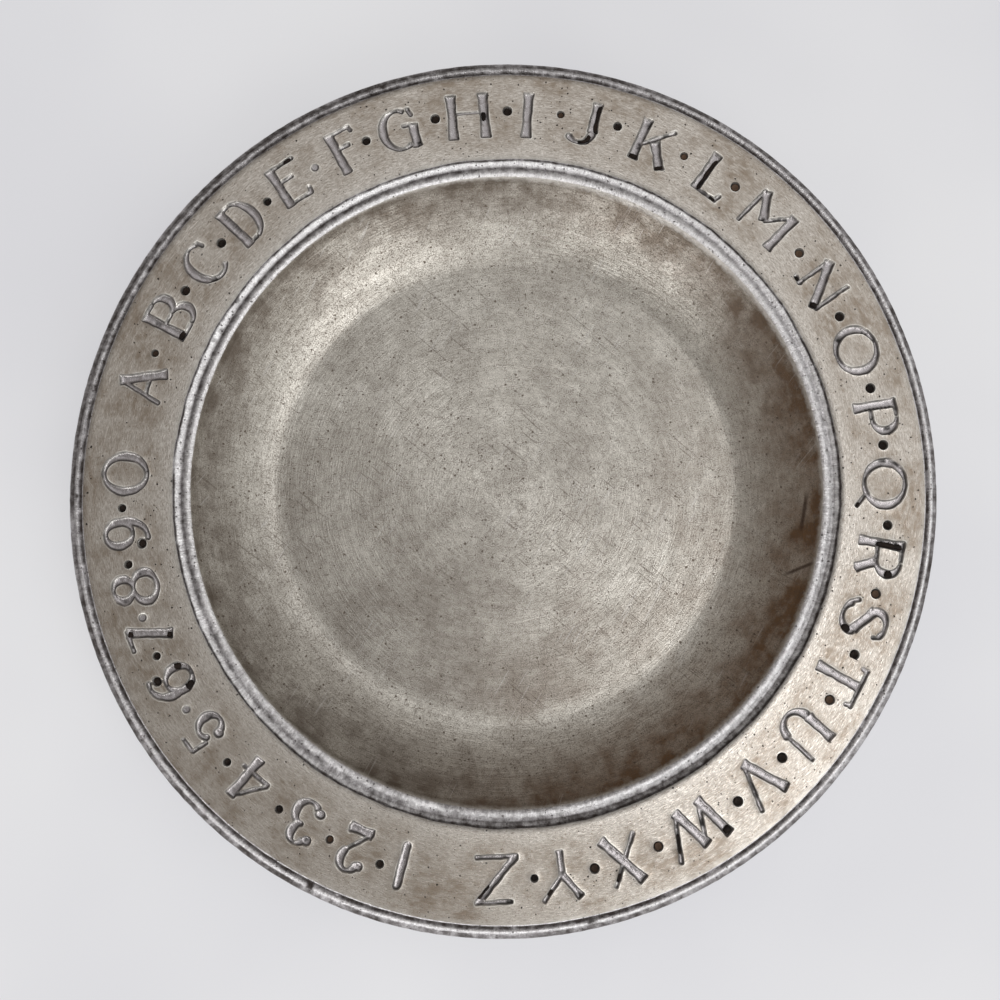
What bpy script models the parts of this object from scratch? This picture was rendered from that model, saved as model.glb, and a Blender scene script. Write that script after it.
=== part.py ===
"""Alphabet plate: a round metal casting whose flat rim carries sunken letters, numerals and dots.

The remains of a dark filling lie in nearly all the dots and in some of the strokes. Each of them is a
separate piece, seated in its own recess. Metres, +Z up. The origin is on the plate's axis, in the plane
that the plate rests on. Letters stand upright with their heads outwards and run clockwise from above.
"""

import math
from collections import namedtuple

import bmesh
import bpy
from mathutils import Matrix, Vector

# Plate casting
RIM_RADIUS = 0.108
OUTER_BEAD_WIDTH = 0.0035
FIELD_WIDTH = 0.0217
INNER_BEAD_WIDTH = 0.0043
WELL_RUN = 0.0175
WELL_DEPTH = 0.0167
WELL_CURVE = 2.2
FLOOR_THICKNESS = 0.0036
WALL_THICKNESS = 0.0034
RIM_THICKNESS = 0.0035

# Beads that border the flat field, measured down from it
OUTER_STEP = 0.0010
OUTER_BEAD_RISE = 0.0010
EDGE_DROP = 0.0022
EDGE_ROUND = 0.0009
INNER_STEP = 0.0011
INNER_BEAD_RISE = 0.0006
WALL_TOP_DROP = 0.0020
STEP_RUN = 0.0002

# Underside
UNDER_FILLET = 0.0012
RECESS_MARGIN = 0.0090
RECESS_DEPTH = 0.0006
RECESS_SLOPE = 0.0004

# Lettering
LETTER_HEIGHT = 0.0116
LETTER_SHIFT = 0.0012
STEM_WIDTH = 0.0025
HAIR_WIDTH = 0.0012
BALL_WIDTH = 0.0023
STEM_DEPTH = 0.0011
BOW_DEPTH = 0.0010
HAIR_DEPTH = 0.0009
FLOOR_STEP = 0.00002
CUTTER_RISE = 0.0005
DOT_DIAMETER = 0.0022
DOT_DEPTH = 0.0012

# Dark filling
FILL_GAP = 0.00025
FILL_BELOW_RIM = 0.0001
END_SPACE = 0.0006

# Faceting
PLATE_SIDES = 72
WELL_STEPS = 9
BEAD_STEPS = 4
EDGE_STEPS = 2
BOW_STEP = 24.0
DOT_SIDES = 10
BALL_SIDES = 8
SHARP_ANGLE = 30.0

# Sizes that follow
FIELD_RADIUS = RIM_RADIUS - OUTER_BEAD_WIDTH
CREASE_RADIUS = FIELD_RADIUS - FIELD_WIDTH
WELL_RADIUS = CREASE_RADIUS - INNER_BEAD_WIDTH
FLOOR_RADIUS = WELL_RADIUS - WELL_RUN
RECESS_RADIUS = FLOOR_RADIUS - RECESS_MARGIN
RIM_TOP = FLOOR_THICKNESS + WELL_DEPTH
LETTER_RADIUS = FIELD_RADIUS - FIELD_WIDTH / 2 + LETTER_SHIFT

# Places round the rim, set by eye: sign, its angle, and the angle of the dot after it, in degrees
LAYOUT = (
    ("A", 164.1, 159.4),
    ("B", 153.0, 148.8),
    ("C", 144.0, 139.7),
    ("D", 134.9, 130.2),
    ("E", 125.8, 121.2),
    ("F", 115.8, 112.3),
    ("G", 107.1, 101.3),
    ("H", 96.2, 90.2),
    ("I", 87.1, 82.0),
    ("J", 78.3, 73.2),
    ("K", 67.4, 62.3),
    ("L", 56.6, 53.1),
    ("M", 46.1, 39.1),
    ("N", 33.0, 27.4),
    ("O", 21.5, 15.3),
    ("P", 11.0, 6.5),
    ("Q", 0.6, -5.8),
    ("R", -10.9, -16.4),
    ("S", -20.8, -26.4),
    ("T", -30.3, -33.7),
    ("U", -39.7, -45.0),
    ("V", -49.8, -54.2),
    ("W", -61.7, -67.8),
    ("X", -73.2, -77.7),
    ("Y", -82.6, -86.6),
    ("Z", -91.7, None),
    ("1", -106.1, -109.2),
    ("2", -113.7, -117.5),
    ("3", -121.9, -125.7),
    ("4", -131.6, -135.8),
    ("5", -141.3, -145.3),
    ("6", -149.6, -154.3),
    ("7", -157.5, -160.2),
    ("8", -164.7, -168.5),
    ("9", -173.1, -176.8),
    ("0", -182.2, None),
)
BARE_DOTS_AFTER = ("E", "5", "7")

# Patches of filling: sign, what the stroke is, its number, and the stretch of its length that is filled
PATCHES = (
    ("B", "stem", 0, 0.84, 0.96),
    ("E", "top_arm", 1, 0.60, 0.92),
    ("H", "right_stem", 1, 0.40, 0.60),
    ("J", "stem", 0, 0.10, 0.90),
    ("J", "hook", 1, 0.28, 0.66),
    ("K", "stem", 0, 0.86, 0.97),
    ("K", "leg", 2, 0.82, 0.96),
    ("L", "stem", 0, 0.25, 0.92),
    ("L", "foot", 1, 0.66, 0.95),
    ("N", "diagonal", 1, 0.86, 0.97),
    ("N", "left_foot", 3, 0.10, 0.60),
    ("Q", "tail", 1, 0.70, 0.94),
    ("R", "stem", 0, 0.04, 0.60),
    ("R", "bowl", 2, 0.34, 0.54),
    ("S", "lower_bowl", 2, 0.06, 0.30),
    ("W", "first_stroke", 0, 0.03, 0.17),
    ("W", "last_stroke", 3, 0.40, 0.80),
    ("X", "thin_stroke", 1, 0.74, 0.90),
    ("Y", "thin_arm", 1, 0.56, 0.78),
    ("Z", "diagonal", 1, 0.08, 0.30),
    ("6", "top_end", 2, 0.12, 0.88),
    ("6", "left_side", 0, 0.52, 0.64),
    ("6", "right_side", 0, 0.90, 0.99),
    ("7", "corner", 1, 0.03, 0.16),
    ("7", "foot", 1, 0.84, 0.97),
    ("9", "tail_end", 2, 0.12, 0.88),
)

Stroke = namedtuple("Stroke", "stations depth closed")


def line(x0, y0, x1, y1, width, depth):
    """A straight stroke between two points, given in letter heights from the sign's middle."""
    ends = ((x0, y0), (x1, y1))
    stations = [(x * LETTER_HEIGHT, y * LETTER_HEIGHT, width) for x, y in ends]
    return Stroke(stations, depth, False)


def stem(x0, y0, x1, y1):
    """A thick straight stroke."""
    return line(x0, y0, x1, y1, STEM_WIDTH, STEM_DEPTH)


def hair(x0, y0, x1, y1):
    """A thin straight stroke."""
    return line(x0, y0, x1, y1, HAIR_WIDTH, HAIR_DEPTH)


def bow(x, y, rx, ry, start, end):
    """A stroke along an ellipse: thick where it stands upright, thin where it lies flat."""
    closed = abs(end - start) >= 360.0
    count = math.ceil(abs(end - start) / BOW_STEP)
    stations = []
    for i in range(count if closed else count + 1):
        turn = math.radians(start + (end - start) * i / count)
        width = HAIR_WIDTH + (STEM_WIDTH - HAIR_WIDTH) * math.cos(turn) ** 2
        across = (x + rx * math.cos(turn)) * LETTER_HEIGHT
        up = (y + ry * math.sin(turn)) * LETTER_HEIGHT
        stations.append((across, up, width))
    return Stroke(stations, BOW_DEPTH, closed)


def ball(x, y):
    """A round end, swept across its own width."""
    stations = []
    for i in range(BALL_SIDES // 2):
        turn = math.pi * (2 * i + 1) / BALL_SIDES
        across = x * LETTER_HEIGHT - BALL_WIDTH / 2 * math.cos(turn)
        stations.append((across, y * LETTER_HEIGHT, BALL_WIDTH * math.sin(turn)))
    return Stroke(stations, STEM_DEPTH, False)


def signs():
    """The strokes of each letter and numeral."""
    return {
        "A": [
            stem(-0.05, 0.47, 0.32, -0.46),
            hair(-0.04, 0.45, -0.35, -0.45),
            hair(-0.24, -0.13, 0.17, -0.13),
        ],
        "B": [
            stem(-0.29, 0.49, -0.29, -0.49),
            bow(0.03, 0.23, 0.24, 0.22, 90, -90),
            bow(0.05, -0.225, 0.28, 0.225, 90, -90),
            hair(-0.29, 0.45, 0.03, 0.45),
            hair(-0.29, 0.005, 0.05, 0.005),
            hair(-0.29, -0.45, 0.05, -0.45),
        ],
        "C": [bow(0.07, 0.0, 0.37, 0.43, 55, 310), hair(0.29, 0.40, 0.33, 0.22)],
        "D": [
            stem(-0.25, 0.49, -0.25, -0.49),
            bow(0.0, 0.0, 0.29, 0.44, 90, -90),
            hair(-0.25, 0.44, 0.0, 0.44),
            hair(-0.25, -0.44, 0.0, -0.44),
        ],
        "E": [
            stem(-0.245, 0.50, -0.245, -0.49),
            hair(-0.245, 0.45, 0.36, 0.45),
            hair(-0.245, 0.10, 0.15, 0.10),
            hair(-0.245, -0.44, 0.32, -0.44),
            hair(0.28, -0.46, 0.31, -0.30),
        ],
        "F": [
            stem(-0.20, 0.50, -0.20, -0.50),
            hair(-0.20, 0.45, 0.32, 0.45),
            hair(-0.20, 0.09, 0.14, 0.09),
            hair(0.26, 0.47, 0.29, 0.33),
        ],
        "G": [
            stem(0.32, 0.07, 0.32, -0.46),
            bow(0.0, 0.0, 0.36, 0.44, 58, 308),
            hair(0.27, 0.44, 0.34, 0.25),
            hair(0.08, 0.06, 0.32, 0.06),
        ],
        "H": [
            stem(-0.345, 0.51, -0.345, -0.51),
            stem(0.36, 0.51, 0.36, -0.51),
            hair(-0.345, 0.07, 0.36, 0.07),
        ],
        "I": [stem(0.0, 0.51, 0.0, -0.51)],
        "J": [stem(0.17, 0.52, 0.17, -0.20), bow(-0.09, -0.20, 0.26, 0.27, 0, -150)],
        "K": [stem(-0.26, 0.52, -0.26, -0.50), hair(-0.24, -0.12, 0.36, 0.48), stem(0.03, 0.08, 0.34, -0.50)],
        "L": [
            stem(-0.21, 0.52, -0.21, -0.50),
            hair(-0.21, -0.45, 0.34, -0.45),
            hair(0.28, -0.47, 0.35, -0.28),
        ],
        "M": [
            stem(-0.47, 0.49, -0.04, -0.09),
            stem(0.44, 0.50, 0.46, -0.51),
            hair(-0.49, 0.50, -0.49, -0.51),
            hair(-0.05, -0.09, 0.43, 0.46),
        ],
        "N": [
            hair(-0.345, 0.50, -0.345, -0.45),
            stem(-0.35, 0.49, 0.33, -0.49),
            hair(0.375, 0.50, 0.375, -0.47),
            hair(-0.55, -0.38, -0.28, -0.38),
        ],
        "O": [bow(0.0, 0.0, 0.465, 0.455, 0, 360)],
        "P": [
            stem(-0.22, 0.51, -0.22, -0.51),
            bow(0.05, 0.17, 0.26, 0.29, 90, -90),
            hair(-0.22, 0.46, 0.05, 0.46),
            hair(-0.22, -0.12, 0.05, -0.12),
        ],
        "Q": [bow(0.0, 0.0, 0.465, 0.455, 0, 360), stem(0.17, -0.36, 0.53, -0.65)],
        "R": [
            stem(-0.325, 0.52, -0.325, -0.52),
            stem(0.08, -0.05, 0.29, -0.51),
            bow(0.03, 0.20, 0.29, 0.27, 90, -90),
            hair(-0.325, 0.47, 0.03, 0.47),
            hair(-0.325, -0.07, 0.03, -0.07),
        ],
        "S": [
            stem(-0.25, 0.16, 0.26, -0.16),
            bow(0.02, 0.24, 0.27, 0.22, 40, 205),
            bow(0.01, -0.24, 0.28, 0.22, 25, -155),
            hair(0.22, 0.42, 0.28, 0.27),
            hair(-0.36, -0.20, -0.25, -0.40),
        ],
        "T": [
            stem(-0.03, 0.49, -0.03, -0.52),
            hair(-0.47, 0.46, 0.47, 0.46),
            hair(-0.39, 0.48, -0.43, 0.34),
            hair(0.39, 0.48, 0.43, 0.33),
        ],
        "U": [
            stem(-0.25, 0.52, -0.25, -0.14),
            bow(0.035, -0.15, 0.285, 0.31, 180, 360),
            hair(0.32, 0.52, 0.32, -0.16),
        ],
        "V": [stem(-0.33, 0.50, 0.01, -0.46), hair(0.0, -0.45, 0.36, 0.50)],
        "W": [
            stem(-0.60, 0.49, -0.33, -0.48),
            hair(-0.35, -0.46, -0.04, 0.42),
            stem(-0.08, 0.44, 0.22, -0.48),
            hair(0.21, -0.46, 0.62, 0.50),
        ],
        "X": [stem(-0.33, 0.51, 0.35, -0.51), hair(-0.38, -0.50, 0.30, 0.50)],
        "Y": [stem(-0.31, 0.51, 0.02, -0.04), hair(-0.02, -0.03, 0.42, 0.50), stem(0.0, 0.05, 0.0, -0.52)],
        "Z": [hair(-0.30, 0.46, 0.44, 0.46), stem(0.37, 0.46, -0.36, -0.47), hair(-0.41, -0.46, 0.42, -0.46)],
        "1": [stem(0.0, 0.52, 0.0, -0.52)],
        "2": [
            bow(0.02, 0.22, 0.20, 0.25, 165, -40),
            ball(-0.22, 0.30),
            hair(0.19, 0.08, -0.27, -0.42),
            stem(-0.28, -0.40, 0.28, -0.40),
        ],
        "3": [
            bow(-0.01, 0.24, 0.17, 0.21, 150, -80),
            bow(0.03, -0.20, 0.25, 0.25, 100, -140),
            ball(-0.24, 0.30),
            ball(-0.24, -0.30),
        ],
        "4": [stem(0.14, 0.49, 0.14, -0.51), hair(0.12, 0.47, -0.38, -0.18), hair(-0.40, -0.18, 0.38, -0.18)],
        "5": [
            hair(-0.20, 0.43, 0.20, 0.43),
            hair(-0.18, 0.46, -0.22, 0.05),
            bow(0.02, -0.17, 0.23, 0.26, 140, -150),
            ball(-0.21, -0.24),
        ],
        "6": [bow(0.02, -0.18, 0.27, 0.29, 0, 360), bow(0.12, 0.02, 0.37, 0.44, 190, 62), ball(0.21, 0.26)],
        "7": [hair(-0.30, 0.43, 0.24, 0.43), stem(0.18, 0.46, -0.18, -0.49)],
        "8": [bow(0.02, 0.25, 0.23, 0.21, 0, 360), bow(0.0, -0.21, 0.31, 0.25, 0, 360)],
        "9": [
            bow(-0.01, 0.15, 0.25, 0.29, 0, 360),
            bow(-0.12, 0.0, 0.36, 0.45, 20, -105),
            ball(-0.27, -0.31),
        ],
        "0": [bow(0.0, 0.0, 0.38, 0.43, 0, 360)],
    }


def clear_scene():
    """Remove whatever the open file holds."""
    for item in list(bpy.data.objects):
        bpy.data.objects.remove(item)


def finish(name, colour, metallic, roughness):
    """A plain material."""
    material = bpy.data.materials.new(name)
    material.use_nodes = True
    shader = material.node_tree.nodes["Principled BSDF"]
    shader.inputs["Base Color"].default_value = (*colour, 1.0)
    shader.inputs["Metallic"].default_value = metallic
    shader.inputs["Roughness"].default_value = roughness
    return material


def add_object(name, bm, material):
    """Turn a bmesh into a named object of the scene, with smooth faces between its sharp edges."""
    mesh = bpy.data.meshes.new(name)
    bm.to_mesh(mesh)
    bm.free()
    mesh.materials.append(material)
    mesh.shade_smooth()
    mesh.set_sharp_from_angle(angle=math.radians(SHARP_ANGLE))
    item = bpy.data.objects.new(name, mesh)
    bpy.context.scene.collection.objects.link(item)
    return item


def well_curve():
    """Points of the well's side from the floor's edge up to the top of the wall."""
    rise = WELL_DEPTH - WALL_TOP_DROP
    points = []
    for i in range(WELL_STEPS + 1):
        share = i / WELL_STEPS
        points.append((FLOOR_RADIUS + WELL_RUN * share, FLOOR_THICKNESS + rise * share**WELL_CURVE))
    return points


def underside_curve():
    """Points under the well's side, a wall's thickness from it, from the rim inwards to the base."""
    points = []
    top = well_curve()
    for (r0, z0), (r1, z1) in zip(top, top[1:]):
        along = Vector((r1 - r0, z1 - z0)).normalized()
        r = (r0 + r1) / 2 + along.y * WALL_THICKNESS
        z = (z0 + z1) / 2 - along.x * WALL_THICKNESS
        if UNDER_FILLET < z < RIM_TOP - RIM_THICKNESS - UNDER_FILLET:
            points.append((r, z))
    return points[::-1]


def bead(first, last, rise):
    """Points over a rounded bead between two feet, the feet included."""
    points = []
    for i in range(BEAD_STEPS + 1):
        share = i / BEAD_STEPS
        radius = first[0] + (last[0] - first[0]) * share
        height = first[1] + (last[1] - first[1]) * share + rise * math.sin(math.pi * share)
        points.append((radius, height))
    return points


def rounded_edge(rim_under):
    """Points round the rim's lower outer edge."""
    points = []
    for i in range(EDGE_STEPS + 1):
        turn = math.pi / 2 * i / EDGE_STEPS
        radius = RIM_RADIUS - EDGE_ROUND * (1 - math.cos(turn))
        points.append((radius, rim_under + EDGE_ROUND * (1 - math.sin(turn))))
    return points


def plate_profile():
    """The turned profile, from the middle of the floor over the rim and back underneath."""
    rim_under = RIM_TOP - RIM_THICKNESS
    profile = [(0.0, FLOOR_THICKNESS)]
    profile += well_curve()[:-1]
    wall_top = (WELL_RADIUS, RIM_TOP - WALL_TOP_DROP)
    crease = (CREASE_RADIUS - STEP_RUN, RIM_TOP - INNER_STEP)
    profile += bead(wall_top, crease, INNER_BEAD_RISE)
    profile += [(CREASE_RADIUS, RIM_TOP), (FIELD_RADIUS, RIM_TOP)]
    groove = (FIELD_RADIUS + STEP_RUN, RIM_TOP - OUTER_STEP)
    edge = (RIM_RADIUS, RIM_TOP - EDGE_DROP)
    profile += bead(groove, edge, OUTER_BEAD_RISE)
    profile += rounded_edge(rim_under)
    under = underside_curve()
    profile += [(under[0][0] + UNDER_FILLET, rim_under)]
    profile += under
    profile += [(FLOOR_RADIUS, 0.0), (RECESS_RADIUS + RECESS_SLOPE, 0.0)]
    profile += [(RECESS_RADIUS, RECESS_DEPTH), (0.0, RECESS_DEPTH)]
    return profile


def turned_plate():
    """The plain casting, turned about the axis."""
    bm = bmesh.new()
    verts = [bm.verts.new((r, 0.0, z)) for r, z in plate_profile()]
    edges = [bm.edges.new(pair) for pair in zip(verts, verts[1:])]
    bmesh.ops.spin(
        bm,
        geom=verts + edges,
        cent=(0.0, 0.0, 0.0),
        axis=(0.0, 0.0, 1.0),
        angle=math.tau,
        steps=PLATE_SIDES,
        use_merge=True,
    )
    bmesh.ops.remove_doubles(bm, verts=bm.verts, dist=STEP_RUN / 10)
    bmesh.ops.recalc_face_normals(bm, faces=bm.faces)
    return bm


def sweep(bm, stations, closed, low, high, place):
    """Add an upright-sided bar that follows the stations, between two heights."""
    count = len(stations)
    rings = []
    for i, (x, y, width) in enumerate(stations):
        before = stations[i - 1] if i or closed else stations[i]
        after = stations[(i + 1) % count] if i + 1 < count or closed else stations[i]
        along = Vector((after[0] - before[0], after[1] - before[1])).normalized()
        side = Vector((-along.y, along.x)) * width / 2
        corners = ((1, low), (-1, low), (-1, high), (1, high))
        rings.append([bm.verts.new(place @ Vector((x + s * side.x, y + s * side.y, z))) for s, z in corners])
    for i in range(count if closed else count - 1):
        here, there = rings[i], rings[(i + 1) % count]
        for k in range(4):
            bm.faces.new((here[k], there[k], there[(k + 1) % 4], here[(k + 1) % 4]))
    if not closed:
        bm.faces.new(rings[0])
        bm.faces.new(rings[-1][::-1])


def at_angle(degrees):
    """Where a sign stands: its middle on the letter ring, its head outwards."""
    turn = Matrix.Rotation(math.radians(degrees - 90.0), 4, "Z")
    return turn @ Matrix.Translation((0.0, LETTER_RADIUS, 0.0))


def add_disc(bm, degrees, diameter, low, high):
    """Add an upright round bar on the letter ring."""
    place = at_angle(degrees) @ Matrix.Translation((0.0, 0.0, (low + high) / 2))
    bmesh.ops.create_cone(
        bm,
        cap_ends=True,
        segments=DOT_SIDES,
        radius1=diameter / 2,
        radius2=diameter / 2,
        depth=high - low,
        matrix=place,
    )


def stroke_floor(stroke, number):
    """Height of a stroke's floor. Each next stroke of a sign is cut a little shallower."""
    return RIM_TOP - stroke.depth + number * FLOOR_STEP


def lettering_cutter(strokes_of):
    """One cutter for all the strokes and dots."""
    bm = bmesh.new()
    top = RIM_TOP + CUTTER_RISE
    for sign, angle, dot_angle in LAYOUT:
        for number, stroke in enumerate(strokes_of[sign]):
            sweep(bm, stroke.stations, stroke.closed, stroke_floor(stroke, number), top, at_angle(angle))
        if dot_angle is not None:
            add_disc(bm, dot_angle, DOT_DIAMETER, RIM_TOP - DOT_DEPTH, top)
    return bm


def plate_casting(strokes_of, material):
    """The casting with its letters, numerals and dots sunk in."""
    cutter = add_object("lettering_cutter", lettering_cutter(strokes_of), material)
    cutter.hide_render = True
    cutter.display_type = "WIRE"
    plate = add_object("plate_casting", turned_plate(), material)
    cut = plate.modifiers.new("lettering", "BOOLEAN")
    cut.operation = "DIFFERENCE"
    cut.solver = "EXACT"
    cut.use_self = True
    cut.object = cutter
    shaped = plate.evaluated_get(bpy.context.evaluated_depsgraph_get())
    mesh = bpy.data.meshes.new_from_object(shaped)
    plate.modifiers.clear()
    plate.data = mesh
    mesh.shade_smooth()
    mesh.set_sharp_from_angle(angle=math.radians(SHARP_ANGLE))
    bpy.data.objects.remove(cutter)
    return plate


def stretch(stroke, start, end):
    """The stations of a part of a stroke, narrowed to lie clear of the stroke's sides.

    Stations close to the part's ends are left out, so that a bent patch doesn't fold over itself.
    """
    points = list(stroke.stations)
    if stroke.closed:
        points.append(points[0])
    reach = [0.0]
    for (x0, y0, _), (x1, y1, _) in zip(points, points[1:]):
        reach.append(reach[-1] + math.hypot(x1 - x0, y1 - y0))

    def station(distance):
        for i in range(len(points) - 1):
            if distance <= reach[i + 1]:
                break
        share = (distance - reach[i]) / (reach[i + 1] - reach[i])
        return tuple(a + (b - a) * share for a, b in zip(points[i], points[i + 1]))

    first, last = start * reach[-1], end * reach[-1]
    inner = [p for p, d in zip(points, reach) if first + END_SPACE < d < last - END_SPACE]
    chosen = [station(first), *inner, station(last)]
    return [(x, y, width - 2 * FILL_GAP) for x, y, width in chosen]


def letter_fill(strokes_of, angles, patch, material):
    """A patch of filling that lies in one stroke."""
    sign, stroke_name, number, start, end = patch
    stroke = strokes_of[sign][number]
    bm = bmesh.new()
    low = stroke_floor(stroke, number) + FILL_GAP
    sweep(bm, stretch(stroke, start, end), False, low, RIM_TOP - FILL_BELOW_RIM, at_angle(angles[sign]))
    return add_object(f"letter_fill_{sign}_{stroke_name}", bm, material)


def dot_fill(sign, following, degrees, material):
    """The plug of filling in the dot between two signs."""
    bm = bmesh.new()
    low = RIM_TOP - DOT_DEPTH + FILL_GAP
    add_disc(bm, degrees, DOT_DIAMETER - 2 * FILL_GAP, low, RIM_TOP - FILL_BELOW_RIM)
    return add_object(f"dot_fill_{sign}_{following}", bm, material)


def build():
    """Make the plate and its fillings."""
    clear_scene()
    metal = finish("cast_aluminium", (0.62, 0.60, 0.57), 1.0, 0.42)
    paint = finish("dark_filling", (0.025, 0.022, 0.020), 0.0, 0.65)
    strokes_of = signs()
    angles = {sign: angle for sign, angle, _ in LAYOUT}
    plate_casting(strokes_of, metal)
    for (sign, _, dot_angle), (following, _, _) in zip(LAYOUT, LAYOUT[1:]):
        if dot_angle is not None and sign not in BARE_DOTS_AFTER:
            dot_fill(sign, following, dot_angle, paint)
    for patch in PATCHES:
        letter_fill(strokes_of, angles, patch, paint)


build()
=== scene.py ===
"""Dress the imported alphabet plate: carved casting, remains of dark filling, worn metal, soft daylight."""

import logging
import math
from dataclasses import dataclass, field, replace
from enum import Enum, IntEnum
from functools import partial

import bpy
import numpy as np
from mathutils import Matrix, Vector
from mathutils.geometry import delaunay_2d_cdt


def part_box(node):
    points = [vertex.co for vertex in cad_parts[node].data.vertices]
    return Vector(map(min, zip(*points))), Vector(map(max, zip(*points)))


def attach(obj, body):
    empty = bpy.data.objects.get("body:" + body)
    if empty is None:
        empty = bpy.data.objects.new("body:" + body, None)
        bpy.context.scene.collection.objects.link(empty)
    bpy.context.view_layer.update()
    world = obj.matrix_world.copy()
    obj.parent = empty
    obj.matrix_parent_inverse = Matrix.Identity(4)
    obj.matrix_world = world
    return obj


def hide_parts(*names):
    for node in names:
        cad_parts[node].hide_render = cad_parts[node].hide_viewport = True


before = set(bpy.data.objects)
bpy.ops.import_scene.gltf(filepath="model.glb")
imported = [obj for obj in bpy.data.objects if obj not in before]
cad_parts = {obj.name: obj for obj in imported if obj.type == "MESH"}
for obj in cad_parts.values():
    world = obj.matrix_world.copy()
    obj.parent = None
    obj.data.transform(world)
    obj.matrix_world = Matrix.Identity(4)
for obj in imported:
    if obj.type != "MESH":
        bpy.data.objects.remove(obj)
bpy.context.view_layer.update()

Array = np.ndarray
Faces = list[tuple[int, ...]]
Node = bpy.types.Node
Socket = bpy.types.NodeSocket
Colour = tuple[float, ...]
LOG = logging.getLogger("alphabet_plate")
MM = 0.001
TINY = 1e-9
FAR_OUTSIDE = -1e3
SEED_STEP = 17.31
SEED_MIX = 2654435761
HASH_MIX = 1274126177
HALF_RANGE = 0x7FFF
AXIS_MIX = np.array((73856093, 19349663, 83492791), np.int64)
CORNER = 0.4
BODY = "root"
PLATE_NODE = "plate_casting"


class Zone(IntEnum):
    """Material slots of the plate's mesh."""

    FIELD = 0
    CAST = 1
    WELL = 2


class Weight(Enum):
    """Width and cut of a stroke: width and depth in millimetres, and how much its ends flare."""

    STEM = (2.25, 0.85, 0.26)
    SLIM = (1.60, 0.80, 0.30)
    ROUND = (2.10, 0.80, 0.0)
    HAIR = (1.10, 0.60, 0.08)
    WORN = (0.75, 0.16, 0.0)

    def __init__(self, width: float, depth: float, flare: float) -> None:
        """Name the three values."""
        self.width, self.depth, self.flare = width, depth, flare


@dataclass(frozen=True)
class PlateSizes:
    """The plate's sizes in millimetres, as its solid has them."""

    rim_radius: float
    rim_top: float
    floor_top: float = 3.6
    outer_bead: float = 3.1
    field_width: float = 21.8
    inner_bead: float = 4.6
    well_run: float = 18.3
    well_curve: float = 1.45
    wall_top_drop: float = 2.0
    wall: float = 3.4
    rim_thickness: float = 3.5
    letter_height: float = 11.6
    letter_shift: float = 0.6
    dot_depth: float = 1.2
    recess_margin: float = 9.0
    recess_depth: float = 0.6
    edge_swell: float = 0.7
    oval_well: float = 0.2
    oval_edge: float = 0.8
    oval_angle: float = 70.0
    edge_shift: tuple[float, float] = (0.2, -0.4)
    well_shift: tuple[float, float] = (0.28, 0.05)
    shift_fade: float = 3.0

    @property
    def field_radius(self) -> float:
        """Outer edge of the flat field."""
        return self.rim_radius - self.outer_bead

    @property
    def crease_radius(self) -> float:
        """Inner edge of the flat field."""
        return self.field_radius - self.field_width

    @property
    def well_radius(self) -> float:
        """Top of the well's wall."""
        return self.crease_radius - self.inner_bead

    @property
    def floor_radius(self) -> float:
        """Edge of the flat floor."""
        return self.well_radius - self.well_run

    @property
    def letter_radius(self) -> float:
        """Middle of the letters."""
        return self.field_radius - self.field_width / 2 + self.letter_shift

    @classmethod
    def from_frame(cls) -> "PlateSizes":
        """The sizes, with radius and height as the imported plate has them."""
        low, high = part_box(PLATE_NODE)
        return cls(rim_radius=(high[0] - low[0]) / 2 / MM, rim_top=high[2] / MM)

    def hand_finished(self, points: Array) -> Array:
        """Press the round plate slightly oval, most at its edge, as the hand-finished casting is.

        Args:
            points: rows of x, y, z in millimetres.

        Returns:
            The moved rows.
        """
        radius = np.hypot(points[:, 0], points[:, 1])
        turn = np.arctan2(points[:, 1], points[:, 0])
        share = np.clip((radius - self.crease_radius) / self.field_width, 0, 1)
        oval = self.oval_well + (self.oval_edge - self.oval_well) * share
        oval *= np.minimum(radius / self.crease_radius, 1)
        move = oval * np.cos(2 * (turn - math.radians(self.oval_angle)))
        inward = np.clip(1 - share * self.shift_fade, 0, 1)
        inward *= np.clip((radius - self.floor_radius) / self.well_run, 0, 1)
        for (across, up), part in ((self.edge_shift, share), (self.well_shift, inward)):
            move += part * (across * np.cos(turn) + up * np.sin(turn))
        moved = points.copy()
        moved[:, :2] *= ((radius + move) / np.maximum(radius, TINY))[:, None]
        return moved


@dataclass(frozen=True)
class Noise:
    """Smooth random values: how far apart they stand, which pattern they follow, and how large they get."""

    size: float
    seed: int
    amount: float = 1.0

    def at(self, points: Array) -> Array:
        """The values at places.

        Args:
            points: rows of two or three coordinates.

        Returns:
            One value for each row, between minus and plus the amount.
        """
        place = points / self.size + self.seed * SEED_STEP
        cell = np.floor(place).astype(np.int64)
        share = place - cell
        share = share * share * (3 - 2 * share)
        dims = points.shape[1]
        total = np.zeros(len(points))
        for corner in range(2**dims):
            offset = np.array([(corner >> k) & 1 for k in range(dims)])
            mixed = ((cell + offset) * AXIS_MIX[:dims]).sum(axis=1) ^ (self.seed * SEED_MIX)
            mixed = (mixed ^ (mixed >> 13)) * HASH_MIX
            value = ((mixed ^ (mixed >> 16)) & 2 * HALF_RANGE + 1) / HALF_RANGE - 1.0
            total += np.where(offset, share, 1 - share).prod(axis=1) * value
        return self.amount * total


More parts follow.
